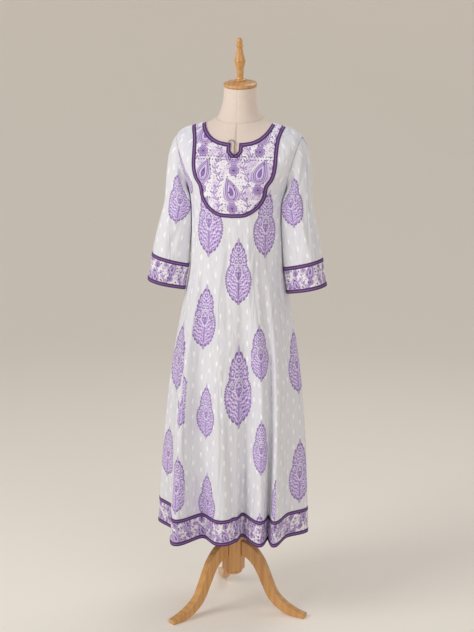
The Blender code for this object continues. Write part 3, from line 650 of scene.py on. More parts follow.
# The print's place on each gore: between two folds or two places in degrees, and over this height, it
# is centred on a third, with the height of one motif's middle and how much wider and taller than the
# small motif it is printed. The cloth is bare elsewhere.
GORE_COLUMNS = ("first", "last", "middle", "aside", "motif_z", "wide", "tall", "from_z", "to_z")
GORES = named_rows(GORE_COLUMNS, (
    ("left_seam_ridge", -44, -63, 0, 827, 2.1, 1.3, 700, 960),
    ("left_seam_ridge", -64, "left_seam_ridge", 52, 517, 1.45, 0.95, 0, 700),
    (-64, -40, "ridge_a", 0, 714, 1.0, 1.0, 560, 700),
    (-44, -40, "ridge_a", 0, 714, 1.0, 1.0, 700, 800),
    (-64, -38, "ridge_a", 2, 458, 1.1, 1.05, 0, 560),
    (-40, "ridge_b", "valley_ab", 0, 964, 1.2, 1.16, 830, 1110),
    (-40, "ridge_b", -22, 0, 678, 1.0, 1.0, 560, 830),
    (-38, "ridge_b", -20.5, 0, 406, 1.15, 1.0, 0, 560),
    (-60, "ridge_b", -27, 0, 1258, 1.35, 1.35, 1110, 1345),
    (-66, -50, -63, 0, 1385, 0.9, 0.85, 1320, 1470),
    ("ridge_b", 20, "ridge_b_lip", 9, 758, 1.36, 1.5, 600, 1000),
    (20, "ridge_d", "ridge_c", 0, 580, 1.0, 1.0, 0, 1055),
    ("ridge_d", "right_seam_ridge", "right_valley", 44, 820, 1.3, 1.2, 0, 960),
    ("ridge_b", 24, 7, 0, 1104, 1.15, 1.2, 1000, 1345),
    (24, 60, 41, 0, 1245, 1.15, 1.2, 1055, 1345),
    ("right_seam_ridge", "ridge_f", "valley_ef", 40, 700, 1.0, 1.0, 0, 1600),
    ("ridge_f", "ridge_g", "valley_fg", 0, 900, 1.0, 1.0, 0, 1600),
    ("ridge_g", "ridge_h", "valley_gh", 0, 760, 1.0, 1.0, 0, 1600),
    ("ridge_h", "ridge_i", "valley_hi", 0, 960, 1.0, 1.0, 0, 1600),
    ("ridge_i", "ridge_j", "valley_ij", 0, 820, 1.0, 1.0, 0, 1600),
    ("ridge_j", "left_seam_ridge", "valley_jk", -40, 900, 1.0, 1.0, 0, 1600),
))

# Soft creases, as a trough (depth over 0) or a ridge: where it starts and ends, in degrees round the
# gown and in height, and half its width.
CREASE_COLUMNS = ("from_deg", "from_z", "to_deg", "to_z", "half_width", "depth")
SKIRT_CREASES = named_rows(CREASE_COLUMNS, (
    (-49, 1120, -50, 300, 6.5, 7.0), (-41, 1100, -42, 300, 7, -3.0),
    (-3.5, 700, 3.2, 240, 5.5, 6.0), (-10, 700, -4, 240, 9, -2.5),
    (-58, 1330, -38, 1180, 9, 3.4), (-66, 1300, -50, 1010, 10, 4.0), (-36, 1255, -33, 960, 9, 3.0),
    (-45, 1240, -40, 760, 10, -3.2), (-20, 1262, -17, 930, 8, 2.6), (-13, 1230, -12, 700, 9, -2.8),
    (-2, 1262, -3, 900, 8, 2.4), (12, 1250, 9, 820, 9, 3.2), (22, 1240, 22, 700, 10, -3.2),
    (36, 1250, 34, 900, 9, 3.0), (57, 1320, 44, 1080, 10, 3.8), (74, 1290, 62, 900, 11, 3.6),
    (-78, 1280, -74, 860, 10, 3.6), (-32, 860, -34, 420, 11, 2.6), (-22, 760, -20, 380, 10, -2.4),
    (-56, 900, -55, 480, 11, 2.6), (0, 760, 0, 430, 9, 2.2), (25, 800, 27, 420, 10, 2.4),
    (100, 1300, 108, 960, 11, 3.4), (128, 1320, 132, 980, 12, 3.6), (158, 1300, 160, 900, 11, -3.2),
    (174, 1330, 172, 1040, 10, 3.0), (188, 1300, 188, 860, 11, -3.0), (204, 1320, 202, 960, 12, 3.4),
    (232, 1310, 228, 900, 11, 3.4), (250, 1290, 248, 940, 11, 3.2), (143, 820, 144, 440, 11, 2.6),
    (172, 800, 174, 430, 10, 2.2), (219, 820, 218, 420, 11, 2.6), (113, 780, 112, 440, 10, 2.4),
))


def eased(share):
    """The share from 0 to 1, leaving and arriving softly."""
    share = np.clip(share, 0.0, 1.0)
    return share * share * (3 - 2 * share)


def hermite(start, leave, end, arrive, share):
    """A curve from start to end with these directions where it leaves and arrives."""
    a, b = share ** 2, share ** 3
    return (start * (2 * b - 3 * a + 1) + leave * (b - 2 * a + share)
            + end * (3 * a - 2 * b) + arrive * (b - a))


def fold_columns():
    """For each column of the mesh: its angle at the bust, place at the hem and fold's start, and the
    number of the column on which each fold's line lies."""
    folds = FRONT_FOLDS + BACK_FOLDS
    count = len(folds)
    angle, hem, start_z, lines = [], [], [], {}
    for i, fold in enumerate(folds):
        before, after, beyond = folds[i - 1], folds[(i + 1) % count], folds[(i + 2) % count]
        places = [np.array([row["x"], row["y"]], float) for row in (before, fold, after, beyond)]
        leave = (places[2] - places[0]) / 2 * fold["roundness"]
        arrive = (places[3] - places[1]) / 2 * after["roundness"]
        steps = max(FOLD_STEPS_LEAST, round(np.linalg.norm(places[2] - places[1]) / FOLD_STEP))
        turn_by = (after["hang_deg"] - fold["hang_deg"]) % 360
        lines[fold["name"]] = len(angle)
        for share in np.arange(steps) / steps:
            angle.append(math.radians(fold["hang_deg"] + turn_by * share))
            hem.append(hermite(places[1], leave, places[2], arrive, share))
            start_z.append(fold["start_z"] + (after["start_z"] - fold["start_z"]) * share)
    return np.array(angle), np.array(hem), np.array(start_z), lines


def bare_gown(numbers, angles):
    """The gown's outer surface before its folds."""
    seated = ring_points(FORM_RINGS, numbers, angles) + form_normals(numbers, angles) * (SEAT + CLOTH)
    free = ring_points(GOWN_RINGS, numbers - FIRST_GOWN_RING, angles)
    share = eased((numbers - SEATED_TO) / (FREE_FROM - SEATED_TO))[:, None, None]
    return np.where(numbers[:, None, None] <= SEATED_TO, seated, seated + (free - seated) * share)


def grid_normals(points, closed):
    """Outward normals of a grid whose rows run down and whose columns run to the right."""
    down = np.gradient(points, axis=0)
    if closed:
        right = np.roll(points, -1, axis=1) - np.roll(points, 1, axis=1)
    else:
        right = np.gradient(points, axis=1)
    return facing(down, right)


def crease_depths(creases, degrees, reach, height):
    """How far in creases draw the cloth at these degrees, this far out, and at these heights."""
    sink = np.zeros(height.shape)
    for crease in creases:
        down = np.clip((crease["from_z"] - height) / (crease["from_z"] - crease["to_z"]), 0, 1)
        middle = crease["from_deg"] + (crease["to_deg"] - crease["from_deg"]) * down
        off = (degrees - middle + 180) % 360 - 180
        across = np.radians(off) * reach / crease["half_width"]
        sink += crease["depth"] * np.exp(-across ** 2) * np.sin(math.pi * down) ** 0.8
    return sink


COLUMN_ANGLES, COLUMN_HEMS, COLUMN_STARTS_Z, FOLD_LINES = fold_columns()


def gown_skin(numbers):
    """The gown's outer surface with its folds and creases, all round, at these ring numbers."""
    numbers = np.asarray(numbers, float)
    points = bare_gown(numbers, COLUMN_ANGLES)
    bare_hem = bare_gown(np.array([float(HEM_RING)]), COLUMN_ANGLES)[0]
    drop = (COLUMN_STARTS_Z - points[..., 2]) / (COLUMN_STARTS_Z - HEM_Z)
    share = np.clip(drop, 0, None) ** FOLD_GROWTH
    points[..., :2] += (COLUMN_HEMS - bare_hem[:, :2]) * share[..., None]
    normals = grid_normals(points, closed=True)
    normals[..., 2] = 0
    reach = np.linalg.norm(points[..., :2], axis=-1)
    sink = crease_depths(SKIRT_CREASES, np.degrees(COLUMN_ANGLES), reach, points[..., 2])
    return points - normals * sink[..., None]


def cloth_mesh(name, points, closed, prints):
    """A grid as a mesh, with the UV maps that prints gives in millimetres at its faces' corners."""
    rows, columns = points.shape[:2]
    mesh = mesh_of(name, points, grid_faces(rows, columns, closed))
    for layer_name, corners in prints.items():
        mesh.uv_layers.new(name=layer_name).data.foreach_set("uv", corners.reshape(-1) * MM)
    return mesh


def face_corners(across, up):
    """The UV values at each face's four corners, from those at the points of its grid."""
    values = np.stack(np.broadcast_arrays(across, up), -1)
    left, right = values[:, :-1], values[:, 1:]
    return np.stack([left[:-1], left[1:], right[1:], right[:-1]], axis=2)


TOP_RING = 3.6            # the cloth is cut from here down, past every neckline
BODICE_FOOT_RING = 13     # and its bodice, which the yoke is cut from, ends here
BODICE_RINGS = np.linspace(TOP_RING, BODICE_FOOT_RING, 74)
SKIRT_RINGS = np.linspace(BODICE_FOOT_RING, HEM_SEAM_RING, 92)[1:]
GOWN_SKIN = gown_skin(np.concatenate([BODICE_RINGS, SKIRT_RINGS]))
RIGHT_SEAM = FOLD_LINES["right_seam_ridge"]
HALVES = (("front", 0, RIGHT_SEAM), ("back", RIGHT_SEAM, len(COLUMN_ANGLES)))


def run_along(points, axis=0):
    """How far each point of a row or a grid is from the first, measured along this axis of it."""
    steps = np.cumsum(np.linalg.norm(np.diff(points, axis=axis), axis=-1), axis=axis)
    return np.insert(steps, 0, 0, axis=axis)


def all_round(points):
    """The rows of a tube with their first point again at the end."""
    return np.concatenate([points, points[:, :1]], axis=1)


def column_of(place):
    """The number of the gown's column at a fold, by its name, or at a place in degrees."""
    if isinstance(place, str):
        return FOLD_LINES[place]
    return int(np.searchsorted(COLUMN_ANGLES, math.radians(place)))


def gore_prints(points):
    """The UV values all round the gown: measured on the cloth from each gore's middle, and down from
    the middle of one of its motifs."""
    count = points.shape[1]
    reach = run_along(all_round(points), axis=1)
    weave = np.zeros((len(points) - 1, count, 4, 2))
    motifs = np.full(weave.shape, MOTIF_PITCH[0] / 4)     # a bare place between the motifs
    for gore in GORES:
        begin, end, middle = (column_of(gore[key]) for key in ("first", "last", "middle"))
        end = end if end > begin else count
        heights, fall = points[:, middle, 2], run_along(points[:, middle])
        fall = np.interp(-gore["motif_z"], -heights, fall) - fall
        across = reach[:, begin:end + 1] - reach[:, middle:middle + 1] - gore["aside"]
        corners = face_corners(across, fall[:, None])
        inside = (heights[1:] >= gore["from_z"]) & (heights[1:] < gore["to_z"])
        weave[:, begin:end] = corners
        motifs[inside, begin:end] = corners[inside] / (gore["wide"], gore["tall"])
    return {"weave": weave, "print": motifs}


LEAST_SPLIT = 0.02        # a cut stays this share of an edge away from the edge's ends
LEAST_EDGE = 0.00005      # in metres


def split_along(shape, outline, axes):
    """Splits a bmesh's faces along a closed outline, seen along the third axis, and returns the
    distance of each vertex from it, more than 0 inside."""
    outline = np.array([tuple(p) for p in outline], float)
    ends = np.roll(outline, -1, axis=0)
    shape.verts.ensure_lookup_table()

    def depth_of(places):
        places = np.asarray(places, float)[:, None, :]
        along = ends - outline
        share = ((places - outline) * along).sum(-1) / np.maximum((along ** 2).sum(-1), 1e-12)
        near = outline + along * np.clip(share, 0, 1)[..., None]
        distance = np.linalg.norm(places - near, axis=-1).min(axis=1)
        crossed = (outline[:, 1] > places[..., 1]) != (ends[:, 1] > places[..., 1])
        rise = np.where(ends[:, 1] == outline[:, 1], 1e-12, ends[:, 1] - outline[:, 1])
        at = outline[:, 0] + (places[..., 1] - outline[:, 1]) / rise * (ends[:, 0] - outline[:, 0])
        inside = (crossed & (places[..., 0] < at)).sum(axis=1) % 2 == 1
        return np.where(inside, distance, -distance)

    places = [tuple(v.co[k] for k in axes) for v in shape.verts]
    depth = {v: d for v, d in zip(shape.verts, depth_of(places))}
    cuts = []
    for edge in list(shape.edges):
        a, b = edge.verts
        if depth[a] * depth[b] < 0:
            share = depth[a] / (depth[a] - depth[b])
            share = min(max(share, LEAST_SPLIT), 1 - LEAST_SPLIT)
            middle = bmesh.utils.edge_split(edge, a, share)[1]
            depth[middle] = 0.0
            cuts.append(middle)
    bmesh.ops.connect_verts(shape, verts=cuts)
    return depth


def cut_away(mesh, outline, axes, keep_inside):
    """Cuts a cloth mesh along an outline in metres and drops what lies on the wrong side of it."""
    shape = bmesh.new()
    shape.from_mesh(mesh)
    depth = split_along(shape, outline, axes)
    way = 1 if keep_inside else -1
    lost = [f for f in shape.faces if sum(depth[v] for v in f.verts) * way < 0]
    bmesh.ops.delete(shape, geom=lost, context="FACES")
    bmesh.ops.dissolve_degenerate(shape, dist=LEAST_EDGE, edges=shape.edges)
    shape.to_mesh(mesh)
    shape.free()


def thickened(name, mesh, finish):
    """Gives a cloth mesh its thickness on the inside, with closed rims, as a plain mesh."""
    piece = add_piece(name, mesh, finish)
    solid = piece.modifiers.new("thickness", "SOLIDIFY")
    solid.thickness = CLOTH * MM
    solid.offset = -1.0
    seen = piece.evaluated_get(bpy.context.evaluated_depsgraph_get())
    made = bpy.data.meshes.new_from_object(seen)
    piece.modifiers.clear()
    piece.data = made
    made.name = name
    return piece


MOTIF_PITCH = (252.0, 285.0)      # between two motifs side by side and one above the other
DOT_PITCH = (54.0, 48.0)          # the woven dots stand in two staggered sets
DOT_HALF = (3.2, 8.2)
COTTON = {"Sheen Weight": 0.15, "Specular IOR Level": 0.25}


def oval(x, y, half_width, half_height, power=2.0):
    """About how far inside an oval this place is, in millimetres; a power under 2 points its ends."""
    reach = (abs(x / half_width) ** power + abs(y / half_height) ** power) ** (1 / power)
    return (1 - reach) * min(half_width, half_height)


def leaf_motif(finish, x, y):
    """The block-printed leaf, 68 by 160 mm round its middle: how far inside its edge a place is, and
    the masks of its beaded rim, of its dark lines and of its light ones."""
    away = abs(x)
    body_y = (y + 20 | 0) / 47 + (y + 20 & 0) / 58
    body, crown = oval(x, body_y * 34, 34, 34, 1.9), oval(x, y - 22, 23, 50, 1.6)
    turn = x.maths("ARCTAN2", y + 8)
    lobes = abs((turn * 19).maths("SINE"))
    spikes = oval(x, y - 70, 2.8, 15) | oval(x, y + 79, 3.2, 9)
    shape = (body | crown) + lobes * 2.0 - 1.2 | spikes
    rim = (1.7 - abs(shape - 1.4)) & (lobes * 8 - 3)
    # curved sprays climb from the stem to the edge, under a net of curls
    upper = y + 2 + away * 0.7
    place = finish.node("CombineXYZ", {0: x, 1: y})
    drift = finish.node("TexNoise", {"Vector": place, "Scale": 0.075, "Detail": 1.5})
    sway = (away * 0.35 + y * 0.09).maths("SINE") * 1.6 + (drift - 0.5) * 14
    spray = ((y - away * 1.3 + away * away * 0.02 + sway) * 0.62).maths("SINE")
    strokes = (away * 0.75 + y * 0.35 + drift * 5).maths("SINE")
    sprays = (spray - 0.15) * 1.7 & (strokes + 0.5) * 2 & (away - 3) & (body - 3.5)
    flecks = (spray * -1 - 0.15) * 2 & (strokes + 0.3) * 2.4
    flecks = flecks & (away - 3.2) & (shape - 4) & (2 - upper)
    grain = finish.node("CombineXYZ", {0: away, 1: y})
    cell = {"Vector": grain, "Scale": 0.098, "Randomness": 0.9}
    gap = finish.node("TexVoronoi", cell, feature="DISTANCE_TO_EDGE", voronoi_dimensions="2D")
    curl = finish.node("TexVoronoi", cell, voronoi_dimensions="2D")
    net = (0.085 - gap) * 14 & (shape - 3.6) & upper
    curls = (0.13 - abs(curl - 0.38)) * 11 & upper & (shape - 3.4)
    eyes = (0.17 - curl) * 11 & (shape - 4) & upper
    stem = (1.3 - away) & (50 - abs(y + 18))
    bud = oval(x, y + 4, 8, 18, 1.6)
    vase = (1.3 - abs(bud - 1.4)) | (bud - 5)
    dark = sprays | curls | stem | vase
    light = net | eyes | flecks | (1.0 - abs(bud + 1.6))
    return shape, rim, dark, light


def uv_places(finish, layer):
    """The two coordinates of a UV map, in millimetres."""
    place = finish.node("UVMap", uv_map=layer)
    across, down, _ = finish.node("SeparateXYZ", {0: place}, out=(0, 1, 2))
    return across * 1000, down * 1000


def woven_ground(finish, base, shade):
    """Cotton ground: its colour with faint slubs and woven dots, the dots' mask, and the relief of
    the weave and of the soft rumples in which it hangs."""
    x, y = uv_places(finish, "weave")
    slub_place = finish.node("CombineXYZ", {0: x * 0.35, 1: y * 0.02})
    slub = finish.node("TexNoise", {"Vector": slub_place, "Scale": 1.0, "Detail": 3.0})
    first = oval(x.wrapped(DOT_PITCH[0]), y.wrapped(DOT_PITCH[1]), *DOT_HALF)
    second = oval((x + DOT_PITCH[0] / 2).wrapped(DOT_PITCH[0]),
                  (y + DOT_PITCH[1] / 2).wrapped(DOT_PITCH[1]), *DOT_HALF)
    dots = (first | second).edge(1.2)
    thread_place = finish.node("CombineXYZ", {0: x, 1: y})
    weave = finish.node("TexNoise", {"Vector": thread_place, "Scale": 1.1, "Detail": 2.0})
    hung = finish.node("Mapping", {"Vector": finish.node("TexCoord", out=3), "Scale": (26, 26, 4.5)})
    rumple = finish.node("TexNoise", {"Vector": hung, "Scale": 1.0, "Detail": 2.5, "Distortion": 0.7})
    colour = finish.blend((slub - 0.35) * 1.6, base, shade)
    relief = rumple + weave * 0.02 + slub * 0.02 + dots * 0.035
    return finish.blend(dots, colour, "f9fafd"), dots, relief


def printed_cotton(name):
    """White cotton with woven dots and violet leaf motifs in half-drop columns."""
    finish = Finish(name, COTTON)
    ground, dots, relief = woven_ground(finish, "e6e6ec", "d8d8e1")
    x, y = uv_places(finish, "print")
    half = MOTIF_PITCH[0] / 2, MOTIF_PITCH[1] / 2
    side = (abs(x.wrapped(MOTIF_PITCH[0])) - half[0] / 2).edge(0.01)
    inner = x.wrapped(half[0])
    shape, rim, dark, light = leaf_motif(finish, inner, (y + side * half[1]).wrapped(MOTIF_PITCH[1]))
    blot_place = finish.node("CombineXYZ", {0: x, 1: y})
    blot = finish.node("TexNoise", {"Vector": blot_place, "Scale": 0.05, "Detail": 3.0})
    violet = finish.printed("ceb8e9", ((blot - 0.3) * 1.4, "bda4dc"),
                            (dark.edge(1.4) * 0.74, "7c60a6"), (light.edge(1.2) * 0.72, "f1eaf9"),
                            (rim.edge(1.2) * 0.8, "6f578f"))
    colour = finish.blend(shape.edge(0.8), ground, violet)
    return finish.show(colour, 0.88 - dots * 0.2, relief, 0.018, 0.8)


def smooth_half(points):
    """A smooth line through the points of a right half, with its mirror image before it."""
    half = smooth_line(points)
    left = [Vector((-p.x, p.y)) for p in half]
    return (left[:-1] if abs(half[-1].x) < 1e-6 else left) + half[::-1]


# Cut lines seen from the front, x and z, and the armhole seen from the side
YOKE_LINE = [(134, 1521), (124, 1488), (121, 1450), (120, 1408), (113, 1376), (97, 1350),
             (91, 1320), (73, 1291), (41, 1270), (0, 1266)]
FRONT_NECK = [(98.5, 1529), (93, 1516), (84, 1503), (70, 1490), (50, 1480), (28, 1475.5)]
NOTCH_HALF_WIDTH = 12.5
NOTCH_TOP_Z = 1474.5
NOTCH_FOOT_Z = 1443.0
NOTCH_FOOT = [(-NOTCH_HALF_WIDTH, 9), (-5, 0), (5, 0), (NOTCH_HALF_WIDTH, 9)]
BACK_NECK = [(98.5, 1529), (92, 1514), (74, 1500), (44, 1492), (0, 1489)]
CUT_TOP_Z = 1600.0
SEEN_FROM_FRONT = (0, 2)  # the axes that an outline is drawn on
SEEN_FROM_SIDE = (1, 2)
SEAM_DRAW_BACK = 0.03     # how far a cut edge stands back from its seam, as a share of a mesh strip
TRIM_WIDTH = 11.5
ARMHOLE_Z = 1412.0
ARMHOLE_HALF_HEIGHT = 80.0
ARMHOLE_FRONT_Y = 62.0
ARMHOLE_BACK_Y = 57.0
ARMHOLE_SQUARENESS = 2.2
ARMHOLE_STEPS = 60


def armhole_points(turns, shrink=0.0):
    """y and z of the armhole's edge; turn 0 is its front, a quarter turn its top."""
    power = 2 / ARMHOLE_SQUARENESS
    ahead, up = np.cos(turns), np.sin(turns)
    depth = np.where(ahead >= 0, ARMHOLE_FRONT_Y, ARMHOLE_BACK_Y) - shrink
    y = -np.sign(ahead) * np.abs(ahead) ** power * depth
    return y, ARMHOLE_Z + np.sign(up) * np.abs(up) ** power * (ARMHOLE_HALF_HEIGHT - shrink)


def notched_neck():
    """The front neckline from left to right, with its square notch."""
    rim = smooth_half(FRONT_NECK)
    middle = len(rim) // 2
    foot = [Vector((x, NOTCH_FOOT_Z + rise)) for x, rise in NOTCH_FOOT]
    corners = [Vector((side * NOTCH_HALF_WIDTH, NOTCH_TOP_Z)) for side in (-1, 1)]
    return rim[:middle] + corners[:1] + foot + corners[1:] + rim[middle:]


def raised_ends(line):
    """The line with its two ends led straight up, past the shoulders."""
    return [Vector((line[0].x, CUT_TOP_Z))] + line + [Vector((line[-1].x, CUT_TOP_Z))]


def placed_outline(line, axes):
    """An outline in the frame's metres, seen along the third axis."""
    return [Vector(p[:2]) * MM - Vector([PLAN_ORIGIN[k] * MM for k in axes]) for p in line]


def draw_back(edge, inner):
    """Moves the points of a cut edge a little towards those inside it, clear of the next piece."""
    edge += (inner - edge) * SEAM_DRAW_BACK


def half_of(points, first, last):
    """The front or back of a whole ring of cloth, drawn back from the side seams."""
    part = points[:, np.arange(first, last + 1) % points.shape[1]].copy()
    draw_back(part[:, 0], part[:, 1])
    draw_back(part[:, -1], part[:, -2])
    return part


def make_cloth(name, node, finish, points, closed, prints, cuts=()):
    """A piece of cloth from its outer surface. Each cut is an outline, the axes that it is drawn on,
    and whether its inside is kept."""
    mesh = cloth_mesh(name, points, closed, prints)
    for outline, axes, keep_inside in cuts:
        cut_away(mesh, placed_outline(outline, axes), axes, keep_inside)
    stand_for(thickened(name, mesh, finish), node)


def make_panels():
    """The front, yoke and back, all cut from the gown's one surface."""
    turns = np.linspace(0, 2 * math.pi, ARMHOLE_STEPS, endpoint=False)
    armhole = list(zip(*armhole_points(turns))), SEEN_FROM_SIDE, False
    yoke_line = smooth_half(YOKE_LINE)
    tops = {"front": offset_line(yoke_line, -SEAM), "back": smooth_half(BACK_NECK)}
    cotton = printed_cotton("printed_cotton")
    prints = gore_prints(GOWN_SKIN)
    for half, first, last in HALVES:
        make_cloth(f"cotton_{half}", f"{half}_panel", cotton,
                   half_of(GOWN_SKIN, first, last), False,
                   {key: corners[:, first:last] for key, corners in prints.items()},
                   ((raised_ends(tops[half]), SEEN_FROM_FRONT, False), armhole))
    bodice = GOWN_SKIN[:len(BODICE_RINGS)]
    level = bodice[:, :RIGHT_SEAM + 1]
    make_cloth("paisley_yoke", "yoke", paisley_cotton("paisley_yoke", 4, 20, dot_rows=(-7, -16)),
               half_of(bodice, 0, RIGHT_SEAM), False,
               {"print": face_corners(level[..., 0], level[..., 2] - NOTCH_FOOT_Z)},
               ((raised_ends(yoke_line), SEEN_FROM_FRONT, True),
                (raised_ends(notched_neck()), SEEN_FROM_FRONT, False)))


PAISLEY_CELL = (84.0, 108.0)
PAISLEY_TALL = 68.0


def paisley(x, y, size=1.0):
    """A bent drop, 36 by 68 mm at full size: about how far inside its edge a place is."""
    x, y = x / size, y / size
    share = (y / PAISLEY_TALL + 0.5) & 0.999 | 0.001
    width = share ** 0.5 * (1 - share) ** 0.9 * 47
    bent = x - share ** 2.6 * 19 + 4
    return ((width - abs(bent)) * 0.85 & PAISLEY_TALL / 2 - abs(y)) * size


def paisley_cotton(name, across, down, scale=1.0, dot_rows=(), inked=0.0):
    """White cotton printed with violet paisleys, rosettes, vines and small dark dots.

    dot_rows are the heights, on the print's own map, of level rows of dark dots. inked, from 0 to 1,
    is how much of the ground the violet and the dark dots take.
    """
    finish = Finish(name, COTTON)
    x, y = uv_places(finish, "print")
    rows = [oval((x + 4 * k).wrapped(8.5), y - height, 1.8, 1.8) for k, height in enumerate(dot_rows)]
    x, y = (x + across) / scale, (y + down) / scale
    column = (x / PAISLEY_CELL[0]).maths("ROUND")
    flip = (column * 0.5).maths("FRACT") * 4 - 1
    inner_x = x.wrapped(PAISLEY_CELL[0]) * flip
    level = y + flip * PAISLEY_CELL[1] / 4
    drop_y = level.wrapped(PAISLEY_CELL[1])
    drop = paisley(inner_x, drop_y)
    heart = paisley(inner_x + 1, drop_y + 4, 0.5)
    scallop = abs((drop_y * 0.62).maths("SINE"))
    lace = (drop + (scallop * 3 + 4.5) * (0.62 - drop_y / PAISLEY_TALL & 1)) & (drop * -1 - 1.6)
    # a rosette stands above each paisley
    rose_x, rose_y = inner_x + 6, (level + PAISLEY_CELL[1] / 2).wrapped(PAISLEY_CELL[1])
    turn = rose_x.maths("ARCTAN2", rose_y)
    petals = abs((turn * 4).maths("SINE"))
    rose = oval(rose_x, rose_y, 14.5, 14.5) + petals * 2.6 - 1
    # a vine winds up between the columns
    vine_x = (x + PAISLEY_CELL[0] / 2).wrapped(PAISLEY_CELL[0])
    vine = vine_x - (y * 0.087).maths("SINE") * 9
    leaf_y = y.wrapped(18)
    leaves = oval(abs(vine) - 6.5, leaf_y - abs(vine) * 0.7 + 4, 5.2, 2.9, 1.7)
    clear = (drop * -1 - 6).edge(1.5) * (rose * -1 - 1.5).edge(1.5)
    place = finish.node("CombineXYZ", {0: x, 1: y})
    cells = {"Vector": place, "Scale": 0.052, "Randomness": 0.85}
    far, tint = finish.node("TexVoronoi", cells, out=(0, 1), voronoi_dimensions="2D")
    red, green, _ = finish.node("SeparateColor", {0: tint}, out=(0, 1, 2))
    spot = 0.075 + red * 0.05 + inked * 0.09 - far
    fine = {"Vector": place, "Scale": 0.11, "Randomness": 0.8}
    seed = 0.17 - finish.node("TexVoronoi", fine, voronoi_dimensions="2D")
    haze = finish.node("TexNoise", {"Vector": place, "Scale": 0.026, "Detail": 2.0})
    colour = finish.printed(
        "f1edf3",
        ((haze - inked * 0.01 - 0.53).edge(0.1) * (0.6 + inked * 0.3),
         finish.blend(inked * 0.7, "cdb7dd", "aa8ec4")),
        (seed.edge(0.05) * clear * 0.85, finish.blend(inked * 0.6, "9c80bb", "64557f")),
        ((1.2 - abs(vine)).edge(0.8) * clear * 0.85, "8464a8"),
        (leaves.edge(0.8) * clear * 0.9, "a283c4"),
        (lace.edge(0.9) * (0.85 - inked * 0.2), "a98bc9"),
        (rose.edge(0.8), "cdb5e0"),
        *(((1.0 - abs(rose - ring)).edge(0.7) * 0.9, "6f4f99") for ring in (1.4, 6.2, 9.6)),
        (((rose - 1.5) & (0.5 - petals) * 4).edge(0.8) * 0.5, "8f72b4"),
        ((rose - 12).edge(0.8), "4f3c6e"),
        (drop.edge(0.9), "dacaea"),
        *(((1.1 - abs(drop - ring)).edge(0.7) * 0.9, "6d4c97") for ring in (1.2, 5.2)),
        ((drop - 6.6).edge(0.8) * 0.8, "bb9fd8"),
        ((1.0 - abs(heart - 0.9)).edge(0.7) * 0.8, "f4edf8"),
        ((heart - 2.4).edge(0.8) * 0.85, "7f60a6"),
        (spot.edge(0.02) * (green - 0.36).edge(0.1) * 0.9, "43305c"),
        *((row.edge(0.8) * 0.9, "54456f") for row in rows))
    weave = finish.node("TexNoise", {"Vector": place, "Scale": 1.1, "Detail": 2.0})
    return finish.show(colour, weave * 0.1 + 0.8, weave, 0.0004, 0.4)


make_panels()

# ---------------------------------------------------------------- sleeves
# Two set-in sleeves of the same printed cotton, full in the cap and straight below the elbow. Each
# is sewn into its armhole, hangs with nothing in it, and lies close along the body.

TUBE_COLUMNS = ("name", "x", "y", "z", "half_width", "half_depth", "tilt_deg", "fold")
SLEEVE_TUBE = named_rows(TUBE_COLUMNS, (
    ("biceps", 173, -18, 1287, 52, 54, 4, 0.0),
    ("elbow", 190, -24, 1204, 56, 48, 9, 2.0),
    ("cuff_seam", 204.5, -28, 1117, 58.5, 43, 15, 4.0),
    ("cuff_end", 218, -31, 1040, 59, 41, 13, 5.0),
))
SLEEVE_CLEARANCE = 2.4    # the nearest that the sleeve comes to the body's cloth,
SLEEVE_SOFTNESS = 3.0     # and how softly it turns aside there
SLEEVE_RADIUS = 52.0      # for the widths of its creases
SLEEVE_FOLDS = 3
SLEEVE_FOLD_TURN = 0.6
CAP_SWELL = 0.5
CAP_DROOP = 1.2
CAP_LEAN = 0.12
CAP_SEWN = 0.04           # the cap keeps to the armhole over this share of its length,
CAP_FREED = 0.3           # and comes free of it over this one
SLEEVE_COLUMNS = 108
SLEEVE_ROWS = 34          # in the cap, and again from the cap down to the cuff
CUFF_SEAM = 2.0           # the stations of the cuff's seam and end on the sleeve
CUFF_END = 3.0
ABOVE_CUFF_LENGTH = 88.0  # of the sleeve's last stretch above the cuff, and of the cuff
CUFF_LENGTH = 78.0
SLEEVE_MOTIF_Z = 1310
SLEEVE_MOTIF_SCALE = (1.15, 0.93)
SLEEVE_MOTIF_ASIDE = 7.0

# Creases on the right sleeve: degrees round it, 0 in front and 90 on its outer side
SLEEVE_CREASES = named_rows(CREASE_COLUMNS, (
    (28, 1484, -34, 1322, 7, 5.0), (66, 1490, 4, 1290, 8, 3.6), (-12, 1396, -40, 1220, 7, 4.4),
    (8, 1440, -16, 1330, 6, -3.0), (40, 1390, 30, 1170, 9, 3.2), (-26, 1260, 2, 1112, 9, 3.6),
    (84, 1430, 76, 1190, 11, 2.6), (16, 1270, 24, 1130, 7, -2.4), (126, 1478, 172, 1326, 8, 4.2),
    (150, 1400, 158, 1200, 9, 3.4), (112, 1350, 118, 1140, 10, 2.8), (196, 1340, 184, 1130, 9, 3.2),
))

# The gown's surface down to below the sleeves, which rays from far out are aimed at
FAR_OUT = 400.0
BELOW_SLEEVES_RING = 17
body_skin = gown_skin(np.linspace(TOP_RING, BELOW_SLEEVES_RING, 72))
BODY = BVHTree.FromPolygons(body_skin.reshape(-1, 3).tolist(),
                            grid_faces(*body_skin.shape[:2], closed=True))


def body_side(places):
    """How far out the gown's right side reaches at each y and z, or 0 past its front and back."""
    inwards = Vector((-1, 0, 0))
    hits = [BODY.ray_cast(Vector((FAR_OUT, y, z)), inwards)[0] for y, z in places.reshape(-1, 2)]
    return np.array([hit.x if hit else 0.0 for hit in hits]).reshape(places.shape[:-1])


